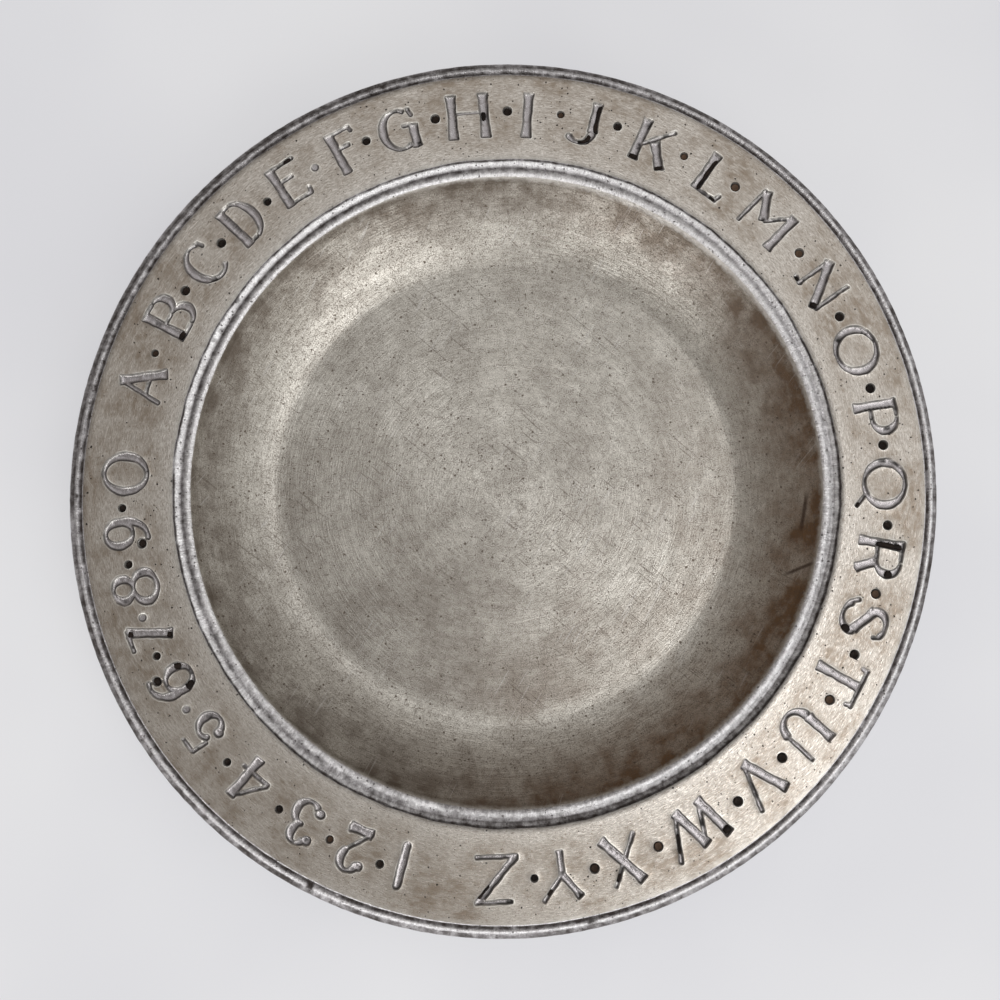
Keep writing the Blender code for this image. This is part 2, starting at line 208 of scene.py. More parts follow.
LONG_WAVE = Noise(19.0, 3, 0.05)
SHORT_WAVE = Noise(6.0, 9, 0.02)
SLOW_WANDER = Noise(7.0, 44)
QUICK_WANDER = Noise(2.0, 45, 0.6)
FINE_GRAIN = Noise(0.8, 21, 0.6)
COARSE_GRAIN = Noise(2.4, 22, 0.6)
SIDE_GRAIN = Noise(1.6, 23)
RING_DIRT = Noise(1.6, 41, 0.45)
RING_CLOUD = Noise(11.0, 42, 0.25)
RING_RUB = Noise(1.1, 43, 0.5)
STROKE_EDGE = Noise(1.4, 51)
STROKE_BURR = Noise(2.3, 5, 0.5)
FINE_BOTTOM = Noise(0.7, 31)
COARSE_BOTTOM = Noise(1.9, 32, 0.7)
DIRT_PATCH = Noise(1.7, 33, 0.55)
DIRT_SPOT = Noise(0.6, 36, 0.3)
EDGE_RUB = Noise(1.8, 34, 0.8)
STAIN_SPOT = Noise(0.6, 35, 0.4)


def bell(values: Array, middle: object, spread: object, power: int = 2) -> Array:
    """A smooth hump of height 1 round a middle value."""
    return np.exp(-(((values - middle) / spread) ** power))


def aim(angle: float) -> Array:
    """Direction at an angle in degrees from +X, counter-clockwise."""
    turn = math.radians(angle)
    return np.array((math.cos(turn), math.sin(turn)))


@dataclass(frozen=True)
class Stroke:
    """One sunken stroke: stations of x, y and width in millimetres about the sign's middle."""

    stations: Array
    depth: float
    closed: bool = False
    corner: float = CORNER

    @property
    def path(self) -> Array:
        """The stations, back to the first one where the stroke is closed."""
        return np.vstack((self.stations, self.stations[:1])) if self.closed else self.stations

    def inside(self, x: Array, y: Array) -> Array:
        """How far points lie inside the stroke's edge.

        Args:
            x: places across the sign.
            y: places up the sign.

        Returns:
            Distances in millimetres, negative outside.
        """
        best = np.full(x.shape, FAR_OUTSIDE)
        path = self.path
        last = len(path) - 2
        for i, ((x0, y0, w0), (x1, y1, w1)) in enumerate(zip(path, path[1:])):
            length = math.hypot(x1 - x0, y1 - y0)
            ux, uy = (x1 - x0) / length, (y1 - y0) / length
            along = (x - x0) * ux + (y - y0) * uy
            across = np.abs((y - y0) * ux - (x - x0) * uy)
            half = (w0 + (w1 - w0) * np.clip(along / length, 0, 1)) / 2
            over = np.maximum(np.maximum(-along, along - length), 0)
            reach = half - np.hypot(across, over)
            if not self.closed and i == 0:
                reach = np.where(along < length, self.cornered(half - across, along), reach)
            if not self.closed and i == last:
                ended = self.cornered(half - across, length - along)
                reach = np.where(along > 0, np.minimum(reach, ended), reach)
                reach = np.where(along > length, ended, reach)
            best = np.maximum(best, reach)
        return best

    def cornered(self, side: Array, end: Array) -> Array:
        """Distance inside a rounded corner, from the distances inside its two sides."""
        near_side, near_end = self.corner - side, self.corner - end
        outer = np.hypot(np.maximum(near_side, 0), np.maximum(near_end, 0))
        return self.corner - outer - np.minimum(np.maximum(near_side, near_end), 0)

    def at(self, share: float) -> tuple[Array, Array]:
        """A place along the stroke.

        Args:
            share: distance along the stroke, as a share of its length.

        Returns:
            The station there and the direction of travel.
        """
        points, steps = self.path, self.steps
        reach = np.concatenate(([0.0], np.cumsum(steps)))
        distance = share * reach[-1]
        i = min(int(np.searchsorted(reach, distance, side="right")) - 1, len(steps) - 1)
        part = (distance - reach[i]) / steps[i]
        station = points[i] + (points[i + 1] - points[i]) * part
        return station, (points[i + 1, :2] - points[i, :2]) / steps[i]

    @property
    def steps(self) -> Array:
        """Distances from station to station, in millimetres."""
        return np.hypot(*np.diff(self.path[:, :2], axis=0).T)

    @property
    def length(self) -> float:
        """Length along the middle, in millimetres."""
        return float(self.steps.sum())


@dataclass
class LetterPen:
    """Draws strokes of the plain roman letters. Places are given in letter heights."""

    height: float
    bow_step: float = 9.0
    ball: float = 2.156
    ball_run: float = 0.1375
    flare: tuple[tuple[float, float], ...] = (
        (0.0, 1.0), (0.16, 0.25), (0.35, 0.0), (0.65, 0.0), (0.84, 0.25), (1.0, 1.0)
    )

    def bar(self, x0: float, y0: float, x1: float, y1: float, weight: Weight) -> Stroke:
        """A straight stroke with flared ends.

        Args:
            x0: start across.
            y0: start up.
            x1: end across.
            y1: end up.
            weight: thick or thin.

        Returns:
            The stroke.
        """
        rows = []
        for share, wide in self.flare:
            across, up = x0 + (x1 - x0) * share, y0 + (y1 - y0) * share
            width = weight.width * (1 + weight.flare * wide)
            rows.append((across * self.height, up * self.height, width))
        corner = weight.width / 2 if weight is Weight.ROUND else CORNER
        return Stroke(np.array(rows), weight.depth, corner=corner)

    def bow(self, x: float, y: float, rx: float, ry: float, start: float, end: float) -> Stroke:
        """A stroke along an ellipse, thick where it stands upright.

        Args:
            x: middle across.
            y: middle up.
            rx: half width.
            ry: half height.
            start: first angle in degrees.
            end: last angle in degrees.

        Returns:
            The stroke.
        """
        closed = abs(end - start) >= 360
        count = math.ceil(abs(end - start) / self.bow_step)
        rows = []
        for i in range(count if closed else count + 1):
            turn = math.radians(start + (end - start) * i / count)
            thick = math.cos(turn) ** 2
            width = Weight.HAIR.width + (Weight.STEM.width - Weight.HAIR.width) * thick
            across, up = x + rx * math.cos(turn), y + ry * math.sin(turn)
            rows.append((across * self.height, up * self.height, width))
        return Stroke(np.array(rows), (Weight.STEM.depth + Weight.HAIR.depth) / 2, closed)

    def blob(self, x: float, y: float) -> Stroke:
        """A round end."""
        shifts = (-self.ball_run, self.ball_run)
        rows = [(x * self.height + shift, y * self.height, self.ball) for shift in shifts]
        return Stroke(np.array(rows), Weight.STEM.depth, True)

    def signs(self) -> dict[str, list[Stroke]]:
        """The strokes of every letter and numeral.

        Returns:
            Strokes by sign, in the same order as in the solid.
        """
        stem, slim, upright, hair, worn = (partial(self.bar, weight=weight) for weight in Weight)
        bow, blob = self.bow, self.blob
        return {
            "A": [
                stem(-0.05, 0.47, 0.32, -0.46), hair(-0.04, 0.45, -0.35, -0.45),
                hair(-0.24, -0.13, 0.17, -0.13),
            ],
            "B": [
                stem(-0.29, 0.49, -0.29, -0.49), bow(0.03, 0.23, 0.24, 0.22, 90, -90),
                bow(0.05, -0.225, 0.28, 0.225, 90, -90), hair(-0.29, 0.45, 0.03, 0.45),
                hair(-0.29, 0.005, 0.05, 0.005), hair(-0.29, -0.45, 0.05, -0.45),
            ],
            "C": [bow(0.07, 0.0, 0.37, 0.43, 55, 310), hair(0.29, 0.40, 0.33, 0.22)],
            "D": [
                stem(-0.25, 0.49, -0.25, -0.49), bow(0.0, 0.0, 0.29, 0.44, 90, -90),
                hair(-0.25, 0.44, 0.0, 0.44), hair(-0.25, -0.44, 0.0, -0.44),
            ],
            "E": [
                stem(-0.245, 0.50, -0.245, -0.49), hair(-0.245, 0.45, 0.36, 0.45),
                hair(-0.245, 0.10, 0.15, 0.10), hair(-0.245, -0.44, 0.32, -0.44),
                hair(0.28, -0.46, 0.31, -0.30),
            ],
            "F": [
                stem(-0.20, 0.50, -0.20, -0.50), hair(-0.20, 0.45, 0.32, 0.45),
                hair(-0.20, 0.09, 0.14, 0.09), hair(0.26, 0.47, 0.29, 0.33),
            ],
            "G": [
                stem(0.32, 0.07, 0.32, -0.46), bow(0.0, 0.0, 0.36, 0.44, 58, 308),
                hair(0.27, 0.44, 0.34, 0.25), hair(0.08, 0.06, 0.32, 0.06),
            ],
            "H": [
                stem(-0.345, 0.51, -0.345, -0.51), stem(0.36, 0.51, 0.36, -0.51),
                worn(-0.345, 0.07, 0.36, 0.07),
            ],
            "I": [stem(0.0, 0.51, 0.0, -0.51)],
            "J": [stem(0.17, 0.52, 0.17, -0.20), bow(-0.08, -0.20, 0.25, 0.27, 0, -146)],
            "K": [
                stem(-0.26, 0.52, -0.26, -0.50), hair(-0.24, -0.12, 0.36, 0.48),
                stem(0.03, 0.08, 0.34, -0.50),
            ],
            "L": [
                stem(-0.21, 0.52, -0.21, -0.50), hair(-0.21, -0.45, 0.34, -0.45),
                hair(0.28, -0.47, 0.35, -0.28),
            ],
            "M": [
                stem(-0.47, 0.49, -0.04, -0.09), stem(0.44, 0.50, 0.46, -0.51),
                hair(-0.49, 0.50, -0.49, -0.51), hair(-0.05, -0.09, 0.43, 0.46),
            ],
            "N": [
                hair(-0.345, 0.50, -0.345, -0.45), stem(-0.35, 0.49, 0.33, -0.49),
                hair(0.375, 0.50, 0.375, -0.47), hair(-0.55, -0.38, -0.28, -0.38),
            ],
            "O": [bow(0.0, 0.0, 0.465, 0.455, 0, 360)],
            "P": [
                stem(-0.22, 0.51, -0.22, -0.51), bow(0.05, 0.17, 0.26, 0.29, 90, -90),
                hair(-0.22, 0.46, 0.05, 0.46), hair(-0.22, -0.12, 0.05, -0.12),
            ],
            "Q": [bow(0.0, 0.0, 0.465, 0.455, 0, 360), hair(0.17, -0.36, 0.53, -0.65)],
            "R": [
                stem(-0.325, 0.52, -0.325, -0.52), stem(0.08, -0.05, 0.29, -0.51),
                bow(0.03, 0.20, 0.29, 0.27, 90, -90), hair(-0.325, 0.47, 0.03, 0.47),
                hair(-0.325, -0.07, 0.03, -0.07),
            ],
            "S": [
                stem(-0.25, 0.16, 0.26, -0.16), bow(0.02, 0.24, 0.27, 0.22, 40, 205),
                bow(0.01, -0.24, 0.28, 0.22, 25, -155), hair(0.22, 0.42, 0.28, 0.27),
                hair(-0.36, -0.20, -0.25, -0.40),
            ],
            "T": [
                stem(-0.03, 0.49, -0.03, -0.52), hair(-0.47, 0.46, 0.47, 0.46),
                hair(-0.39, 0.48, -0.43, 0.34), hair(0.39, 0.48, 0.43, 0.33),
            ],
            "U": [
                stem(-0.25, 0.52, -0.25, -0.14), bow(0.035, -0.15, 0.285, 0.31, 180, 360),
                hair(0.32, 0.52, 0.32, -0.16),
            ],
            "V": [stem(-0.33, 0.50, 0.01, -0.46), hair(0.0, -0.45, 0.36, 0.50)],
            "W": [
                stem(-0.60, 0.49, -0.33, -0.48), hair(-0.35, -0.46, -0.04, 0.42),
                stem(-0.08, 0.44, 0.22, -0.48), hair(0.21, -0.46, 0.62, 0.50),
            ],
            "X": [stem(-0.33, 0.51, 0.35, -0.51), hair(-0.38, -0.50, 0.30, 0.50)],
            "Y": [
                slim(-0.31, 0.51, 0.02, -0.04), hair(-0.02, -0.03, 0.42, 0.50),
                slim(0.0, 0.05, 0.0, -0.52),
            ],
            "Z": [
                hair(-0.30, 0.46, 0.44, 0.46), slim(0.37, 0.46, -0.36, -0.47),
                hair(-0.41, -0.46, 0.42, -0.46),
            ],
            "1": [upright(0.0, 0.52, 0.0, -0.52)],
            "2": [
                bow(0.02, 0.22, 0.20, 0.25, 165, -40), blob(-0.22, 0.30), hair(0.19, 0.08, -0.27, -0.42),
                stem(-0.28, -0.40, 0.28, -0.40),
            ],
            "3": [
                bow(-0.01, 0.24, 0.17, 0.21, 150, -80), bow(0.03, -0.20, 0.25, 0.25, 100, -140),
                blob(-0.24, 0.30), blob(-0.24, -0.30),
            ],
            "4": [
                stem(0.14, 0.49, 0.14, -0.51), hair(0.12, 0.47, -0.38, -0.18),
                hair(-0.40, -0.18, 0.38, -0.18),
            ],
            "5": [
                hair(-0.20, 0.43, 0.20, 0.43), hair(-0.18, 0.46, -0.22, 0.05),
                bow(0.02, -0.17, 0.23, 0.26, 140, -150), blob(-0.21, -0.24),
            ],
            "6": [
                bow(0.02, -0.18, 0.27, 0.29, 0, 360), bow(0.12, 0.02, 0.37, 0.44, 190, 62),
                blob(0.21, 0.26),
            ],
            "7": [hair(-0.30, 0.43, 0.24, 0.43), stem(0.18, 0.46, -0.18, -0.49)],
            "8": [bow(0.02, 0.25, 0.23, 0.21, 0, 360), bow(0.0, -0.21, 0.31, 0.25, 0, 360)],
            "9": [
                bow(-0.01, 0.15, 0.25, 0.29, 0, 360), bow(-0.12, 0.0, 0.36, 0.45, 20, -105),
                blob(-0.27, -0.31),
            ],
            "0": [bow(0.0, 0.0, 0.38, 0.43, 0, 360)],
        }


class Cut(Enum):
    """How broad and how high a sign was cut, against the plain letter."""

    PLAIN = (1.0, 1.0)
    TALL = (0.99, 1.07)
    LARGE = (1.08, 1.07)
    BROAD = (1.09, 0.96)
    SHORT = (1.0, 0.93)
    SMALL = (0.94, 0.96)


@dataclass(frozen=True)
class Dot:
    """A round dot: angle in degrees, how far outside the letters' middle it lies, and its width."""

    angle: float
    out: float = 0.4
    width: float = 2.3


@dataclass(frozen=True)
class Place:
    """Where a sign stands: angle and lean in degrees, its cut, and the dot after it."""

    name: str
    angle: float
    lean: float = 0.0
    cut: Cut = Cut.PLAIN
    dot: Dot | None = None


LAYOUT = (
    Place("A", 164.3, 2, Cut.TALL, Dot(159.4, -0.5, 1.8)),
    Place("B", 153.1, 0, Cut.TALL, Dot(148.8, 0.0)),
    Place("C", 143.9, 3, Cut.TALL, Dot(139.7, 0.0)),
    Place("D", 135.0, 2, Cut.TALL, Dot(130.2, -0.5, 2.0)),
    Place("E", 125.7, -2, Cut.PLAIN, Dot(121.2, -0.3, 2.0)),
    Place("F", 115.7, 3, Cut.PLAIN, Dot(112.3, 0.1, 2.1)),
    Place("G", 107.0, -3, Cut.PLAIN, Dot(101.2, 0.6)),
    Place("H", 96.2, -1, Cut.PLAIN, Dot(90.1, 0.9)),
    Place("I", 87.0, -1, Cut.PLAIN, Dot(81.95, 1.0, 1.8)),
    Place("J", 78.0, -1, Cut.BROAD, Dot(73.1, 1.2, 2.1)),
    Place("K", 67.2, -1, Cut.BROAD, Dot(62.0, 0.7, 1.9)),
    Place("L", 56.4, -2, Cut.SHORT, Dot(52.9, 1.1)),
    Place("M", 45.9, -1, Cut.SMALL, Dot(38.8, 0.2)),
    Place("N", 32.8, 2, Cut.SMALL, Dot(27.2, -0.2)),
    Place("O", 21.4, 0, Cut.PLAIN, Dot(15.2, 0.2, 2.4)),
    Place("P", 10.8, -1, Cut.BROAD, Dot(6.3, 0.4, 2.4)),
    Place("Q", 0.4, -2, Cut.PLAIN, Dot(-5.9, 1.0)),
    Place("R", -11.0, 1, Cut.PLAIN, Dot(-16.4, 0.9, 2.4)),
    Place("S", -20.7, -1, Cut.LARGE, Dot(-26.1, 0.9, 2.4)),
    Place("T", -30.3, 1, Cut.TALL, Dot(-33.8, 0.7, 2.4)),
    Place("U", -39.7, -3, Cut.LARGE, Dot(-45.0, 0.0, 2.4)),
    Place("V", -49.9, 2, Cut.LARGE, Dot(-54.2, 0.6, 2.4)),
    Place("W", -61.7, 2, Cut.PLAIN, Dot(-67.7, 0.0)),
    Place("X", -73.3, -1, Cut.PLAIN, Dot(-77.6, 0.0)),
    Place("Y", -82.4, 0, Cut.BROAD, Dot(-86.5, 0.0, 1.8)),
    Place("Z", -91.9, 3, Cut.BROAD),
    Place("1", -105.9, 1, Cut.SHORT, Dot(-109.0, 1.1, 1.9)),
    Place("2", -113.2, 0, Cut.SMALL, Dot(-117.0, 0.4, 1.8)),
    Place("3", -121.5, 3, Cut.SMALL, Dot(-125.5, 0.6, 1.8)),
    Place("4", -131.3, 1, Cut.SMALL, Dot(-135.6, 0.4, 1.8)),
    Place("5", -141.1, -1, Cut.SMALL, Dot(-145.3, 0.2, 2.0)),
    Place("6", -149.6, 0, Cut.SMALL, Dot(-154.2, 0.3, 1.8)),
    Place("7", -157.7, -1, Cut.SMALL, Dot(-160.2, 0.2, 2.0)),
    Place("8", -164.6, -2, Cut.PLAIN, Dot(-168.3, 0.4, 1.9)),
    Place("9", -173.0, 2, Cut.PLAIN, Dot(-176.7, 0.6, 1.9)),
    Place("0", -181.8, -1, Cut.TALL),
)
BARE_DOTS_AFTER = ("E", "5", "7")


@dataclass(frozen=True)
class Nick:
    """A pit in the borders: angle in degrees, distance from the axis, width and depth in millimetres."""

    angle: float
    radius: float
    width: float
    depth: float = 0.35


NICKS = (
    Nick(181.5, 106.6, 0.5),
    Nick(167.6, 106.2, 0.45),
    Nick(167.0, 106.7, 0.4),
    Nick(166.5, 106.0, 0.4),
    Nick(126.3, 105.0, 0.5, 0.5),
    Nick(109.2, 106.0, 0.4),
    Nick(108.5, 106.7, 0.5),
    Nick(108.0, 106.1, 0.4),
    Nick(107.4, 106.8, 0.6),
    Nick(37.0, 106.4, 0.6),
    Nick(12.0, 81.2, 0.45),
    Nick(6.5, 80.6, 0.4),
    Nick(280.5, 106.2, 0.8, 0.6),
    Nick(243.5, 106.5, 0.8, 0.6),
    Nick(151.5, 82.0, 0.6, 0.2),
    Nick(153.5, 82.2, 0.6, 0.2),
    Nick(145.5, 82.4, 0.6, 0.25),
)


@dataclass(frozen=True)
class Stain:
    """A dark spot in a stroke: where along it, on which side of it, and its half width in millimetres."""

    sign: str
    stroke: int
    start: float
    end: float
    side: float = 0.0
    size: float = 0.5


STAINS = (
    Stain("B", 0, 0.30, 0.36),
    Stain("C", 0, 0.70, 0.74, 0.2),
    Stain("D", 0, 0.20, 0.60, -0.5, 0.3),
    Stain("E", 0, 0.10, 0.92, -0.75, 0.28),
    Stain("G", 0, 0.80, 0.95, -0.4, 0.45),
    Stain("H", 0, 0.15, 0.95, -0.8, 0.25),
    Stain("K", 0, 0.60, 0.68, -0.2, 0.5),
    Stain("K", 0, 0.05, 0.20, -0.6, 0.35),
    Stain("M", 0, 0.90, 0.95),
    Stain("O", 0, 0.58, 0.61, 0.0, 0.6),
    Stain("O", 0, 0.35, 0.38, -0.3, 0.4),
    Stain("P", 0, 0.15, 0.70, -0.7, 0.33),
    Stain("P", 1, 0.40, 0.50, 0.3, 0.5),
    Stain("Q", 0, 0.50, 0.53, 0.3, 0.5),
    Stain("Q", 0, 0.40, 0.46, 0.4, 0.35),
    Stain("V", 1, 0.42, 0.66, -0.3, 0.35),
    Stain("W", 1, 0.46, 0.56, 0.0, 0.4),
    Stain("Y", 2, 0.08, 0.14, 0.0, 0.5),
    Stain("Y", 0, 0.06, 0.12, 0.0, 0.45),
    Stain("Z", 0, 0.06, 0.14, 0.0, 0.45),
    Stain("3", 2, 0.4, 0.6, 0.0, 0.5),
    Stain("5", 2, 0.56, 0.62, 0.0, 0.5),
    Stain("8", 0, 0.48, 0.52, 0.0, 0.45),
    Stain("8", 1, 0.0, 0.04, 0.0, 0.45),
)


@dataclass(frozen=True)
class Sign:
    """A letter or numeral at its place on the rim, with the dot that follows it."""

    place: Place
    strokes: list[Stroke]
    radius: float

    @property
    def name(self) -> str:
        """The letter or numeral."""
        return self.place.name

    @property
    def middle(self) -> Array:
        """Middle of the sign on the plate, in millimetres."""
        return self.radius * aim(self.place.angle)

    @property
    def frame(self) -> Array:
        """Columns: across (clockwise) and up (outwards) in the rim's plane."""
        turn = math.radians(self.place.angle + self.place.lean)
        return np.array(((math.sin(turn), math.cos(turn)), (-math.cos(turn), math.sin(turn))))

    def to_plate(self, places: Array) -> Array:
        """Turn places about the sign's middle into places on the plate, both in millimetres."""
        return places @ self.frame.T + self.middle

    def to_sign(self, places: Array) -> Array:
        """Turn places on the plate into places about the sign's middle, both in millimetres."""
        return (places - self.middle) @ self.frame

    @property
    def dot(self) -> Array | None:
        """Middle of the following dot about the sign's middle."""
        dot = self.place.dot
        if dot is None:
            return None
        return self.to_sign((self.radius + dot.out) * aim(dot.angle))

    def span(self) -> tuple[Array, Array]:
        """Lowest and highest corner of the strokes and the dot about the sign's middle."""
        rows = np.vstack([s.stations for s in self.strokes])
        if self.dot is not None:
            rows = np.vstack((rows, (*self.dot, self.place.dot.width)))
        half = rows[:, 2:] / 2
        return (rows[:, :2] - half).min(axis=0), (rows[:, :2] + half).max(axis=0)

    def reach(self) -> tuple[float, float]:
        """Degrees round the rim at which the sign starts and at which its dot ends, going clockwise."""
        rows = np.vstack([s.stations for s in self.strokes])
        places = self.to_plate(rows[:, :2])
        turn = np.degrees(np.arctan2(places[:, 1], places[:, 0])) - self.place.angle
        turn = (turn + 180) % 360 - 180 + self.place.angle
        half = np.degrees(rows[:, 2] / 2 / np.hypot(*places.T))
        start, end = float((turn + half).max()), float((turn - half).min())
        if self.place.dot is not None:
            end = min(end, self.place.dot.angle - math.degrees(self.place.dot.width / 2 / self.radius))
        return start, end


@dataclass
class Carving:
    """How the strokes and dots are sunk into the flat field. Sizes in millimetres."""

    sizes: PlateSizes
    wall: float = 0.88
    dot_wall: float = 0.34
    burr: float = 0.085
    burr_middle: float = -0.18
    burr_spread: float = 0.17
    burr_least: float = 0.75
    bare_depth: float = 0.14
    uneven: float = 0.11

    def depths(self, sign: Sign, places: Array) -> tuple[Array, Array]:
        """Distance inside the nearest edge, and depth, at places about a sign.

        Args:
            sign: the letter or numeral.
            places: rows of x and y about its middle.

        Returns:
            Distances (negative outside) and depths below the field.
        """
        x, y = places.T
        uneven = self.uneven * STROKE_EDGE.at(sign.to_plate(places))
        recesses = [(stroke.inside(x, y) + uneven, self.wall, stroke.depth) for stroke in sign.strokes]
        if sign.dot is not None:
            reach = sign.place.dot.width / 2 - np.hypot(x - sign.dot[0], y - sign.dot[1])
            full = self.bare_depth if sign.name in BARE_DOTS_AFTER else self.sizes.dot_depth
            recesses.append((reach, self.dot_wall, full))
        inside = np.full(len(places), FAR_OUTSIDE)
        depth = np.zeros(len(places))
        for reach, wall, full in recesses:
            share = np.clip(reach / wall, 0, 1)
            depth = np.maximum(depth, full * np.sqrt(1 - (1 - share) ** 2))
            inside = np.maximum(inside, reach)
        return inside, depth

    def burr_height(self, inside: Array, places: Array) -> Array:
        """Height of the ridge along the edges, from distances inside them and places on the plate."""
        ridge = bell(inside, self.burr_middle, self.burr_spread)
        return self.burr * ridge * (self.burr_least + STROKE_BURR.at(places))


def contour(
    values: Array, xs: Array, ys: Array, level: float
) -> tuple[Array, Array]:
    """Points and edges where a grid of values crosses a level.

    Args:
        values: grid of values, rows along y.
        xs: places of the columns.
        ys: places of the rows.
        level: value to follow.

    Returns:
        Rows of x and y, and rows of two point numbers.
    """
    low_share, high_share = 0.12, 0.88
    above = values > level
    points = []
    numbers = []
    for axis in (1, 0):
        first = values[:, :-1] if axis else values[:-1]
        second = values[:, 1:] if axis else values[1:]
        crossed = (above[:, :-1] ^ above[:, 1:]) if axis else (above[:-1] ^ above[1:])
        row, column = np.nonzero(crossed)
        share = (level - first[row, column]) / (second[row, column] - first[row, column])
        share = np.clip(share, low_share, high_share)
        step = xs[1] - xs[0] if axis else ys[1] - ys[0]
        x = xs[column] + (share * step if axis else 0)
        y = ys[row] + (0 if axis else share * step)
        number = np.full(crossed.shape, -1)
        number[row, column] = np.arange(len(row)) + sum(len(p) for p in points)
        points.append(np.stack((x, y), axis=1))
        numbers.append(number)
    flat, upright = numbers
    around = np.stack((flat[:-1], upright[:, 1:], flat[1:], upright[:, :-1]), axis=-1).reshape(-1, 4)
    hits = (around >= 0).sum(axis=1)
    pairs = np.sort(around[hits == 2], axis=1)[:, 2:]
    saddles = around[hits == 4]
    edges = np.vstack((pairs, saddles[:, :2], saddles[:, 2:]))
    return np.vstack(points), edges


def linked(name: str, data: bpy.types.ID) -> bpy.types.Object:
    """Make an object of the data and put it into the scene."""
    item = bpy.data.objects.new(name, data)
    bpy.context.scene.collection.objects.link(item)
    return item


def shaped(name: str, points: Array, faces: Faces, marks: dict[str, Array]) -> bpy.types.Object:
    """Make a smooth mesh object.

    Args:
        name: name of the object.
        points: rows of x, y, z in millimetres.
        faces: corner numbers.
        marks: values that the finishes read, one for each point, by name.

    Returns:
        The linked object.
    """
    mesh = bpy.data.meshes.new(name)
    mesh.from_pydata((points * MM).tolist(), [], faces)
    for label, values in marks.items():
        layer = mesh.attributes.new(label, "FLOAT", "POINT")
        layer.data.foreach_set("value", values.astype(np.float32))
    mesh.update()
    mesh.shade_smooth()
    return linked(name, mesh)


@dataclass
class Surface:
    """Collects the points and faces of one closed mesh, with marks that the finishes read."""

    points: list[Array] = field(default_factory=list)
    marks: list[Array] = field(default_factory=list)
    faces: Faces = field(default_factory=list)
    zones: list[int] = field(default_factory=list)
    count: int = 0
    sharp_angle: float = 50.0

    def add(
        self,
        points: Array,
        groove: Array | float = 0.0,
        grime: Array | float = 0.0,
        burr: Array | float = 0.0,
    ) -> Array:
        """Add points.

        Args:
            points: rows of x, y, z in millimetres.
            groove: how far each point lies in a sunken stroke, 0 to 1.
            grime: how dark each point is from dirt and from painted shade, 0 to 1.
            burr: how bright each point is from rubbing along an edge and from painted highlight, 0 to 1.

        Returns:
            The new points' numbers.
        """
        self.points.append(points)
        self.marks.append(np.stack([np.broadcast_to(m, len(points)) for m in (groove, grime, burr)]))
        self.count += len(points)
        return np.arange(self.count - len(points), self.count)

    def face(self, corners: tuple[int, ...], zone: Zone) -> None:
        """Add one face."""
        self.faces.append(tuple(int(c) for c in corners))
        self.zones.append(int(zone))

    def stitch(self, inner: Array, outer: Array, zone: Zone) -> None:
        """Join two closed rings of equal count, or of which one has twice the other's points.

        Args:
            inner: point numbers of the ring that lies first along the profile.
            outer: point numbers of the next ring.
            zone: finish of the faces.
        """
        n, m = len(inner), len(outer)
        for i in range(min(n, m)):
            j = (i + 1) % min(n, m)
            if n == m:
                self.face((inner[i], outer[i], outer[j], inner[j]), zone)
            elif m == 2 * n:
                a, b, c = outer[2 * i], outer[2 * i + 1], outer[(2 * i + 2) % m]
                self.face((inner[i], a, b), zone)
                self.face((inner[i], b, inner[j]), zone)
                self.face((inner[j], b, c), zone)
            else:
                a, b, c = inner[2 * i], inner[2 * i + 1], inner[(2 * i + 2) % n]
                self.face((a, outer[i], b), zone)
                self.face((b, outer[i], outer[j]), zone)
                self.face((b, outer[j], c), zone)

    def fan(self, ring: Array, middle: int, zone: Zone, upward: bool) -> None:
        """Close a ring with triangles to one point."""
        n = len(ring)
        for i in range(n):
            pair = (ring[i], ring[(i + 1) % n])
            self.face((middle, *pair) if upward else (middle, *pair[::-1]), zone)

    def build(self, name: str, sizes: PlateSizes) -> bpy.types.Object:
        """Make the mesh object.

        Args:
            name: name of the object.
            sizes: the plate's sizes, for its hand-finished roundness.

        Returns:
            The linked object.
        """
        # Marks: how far into a stroke, dirt and painted shade, and brightness from rubbing and painted
        # highlight.
        marks = dict(zip(("groove", "grime", "burr"), np.hstack(self.marks)))
        item = shaped(name, sizes.hand_finished(np.vstack(self.points)), self.faces, marks)
        item.data.polygons.foreach_set("material_index", np.array(self.zones, np.int32))
        item.data.set_sharp_from_angle(angle=math.radians(self.sharp_angle))
        return item


@dataclass(frozen=True)
class Row:
    """One ring of the plate's profile in millimetres, with dirt and painted shade, brightness from rubbing
    and lean, 0 to 1.

    The lean is outwards (positive) or inwards (negative); on the side of the plate where it faces the light
    it paints a highlight and lifts the darkening, and where it faces away it paints shade.
    """

    radius: float
    height: float
    grime: float | Array = 0.0
    rub: float = 0.0
    tilt: float = 0.0


@dataclass(frozen=True)
class WearAndShading:
    """Dirt, painted shade, rubbing and painted highlight along the strokes. Middles and spreads are
    distances inside their edge.
    """

    groove_start: float = -0.05
    groove_run: float = 0.25
    roughness: float = 0.10
    line_middle: float = 0.14
    line_spread: float = 0.16
    line_amount: float = 0.92
    line_least: float = 0.15
    # The away values make the dark lines heavier on walls turned from the light, as painted shade.
    away_shift: float = 0.10
    away_spread: float = 0.12
    away_amount: float = 0.25
    shallow_depth: float = 0.1
    shallow_fade: float = 2.0
    shallow_start: float = 0.25
    rub_middle: float = -0.14
    rub_spread: float = 0.17
    rub_amount: float = 0.55
    # The lit values paint a highlight on walls turned to the light.
    lit_middle: float = 0.18
    lit_spread: float = 0.20
    lit_amount: float = 0.85
    stain_amount: float = 0.8
    stain_steps: int = 7
    stain_power: int = 4


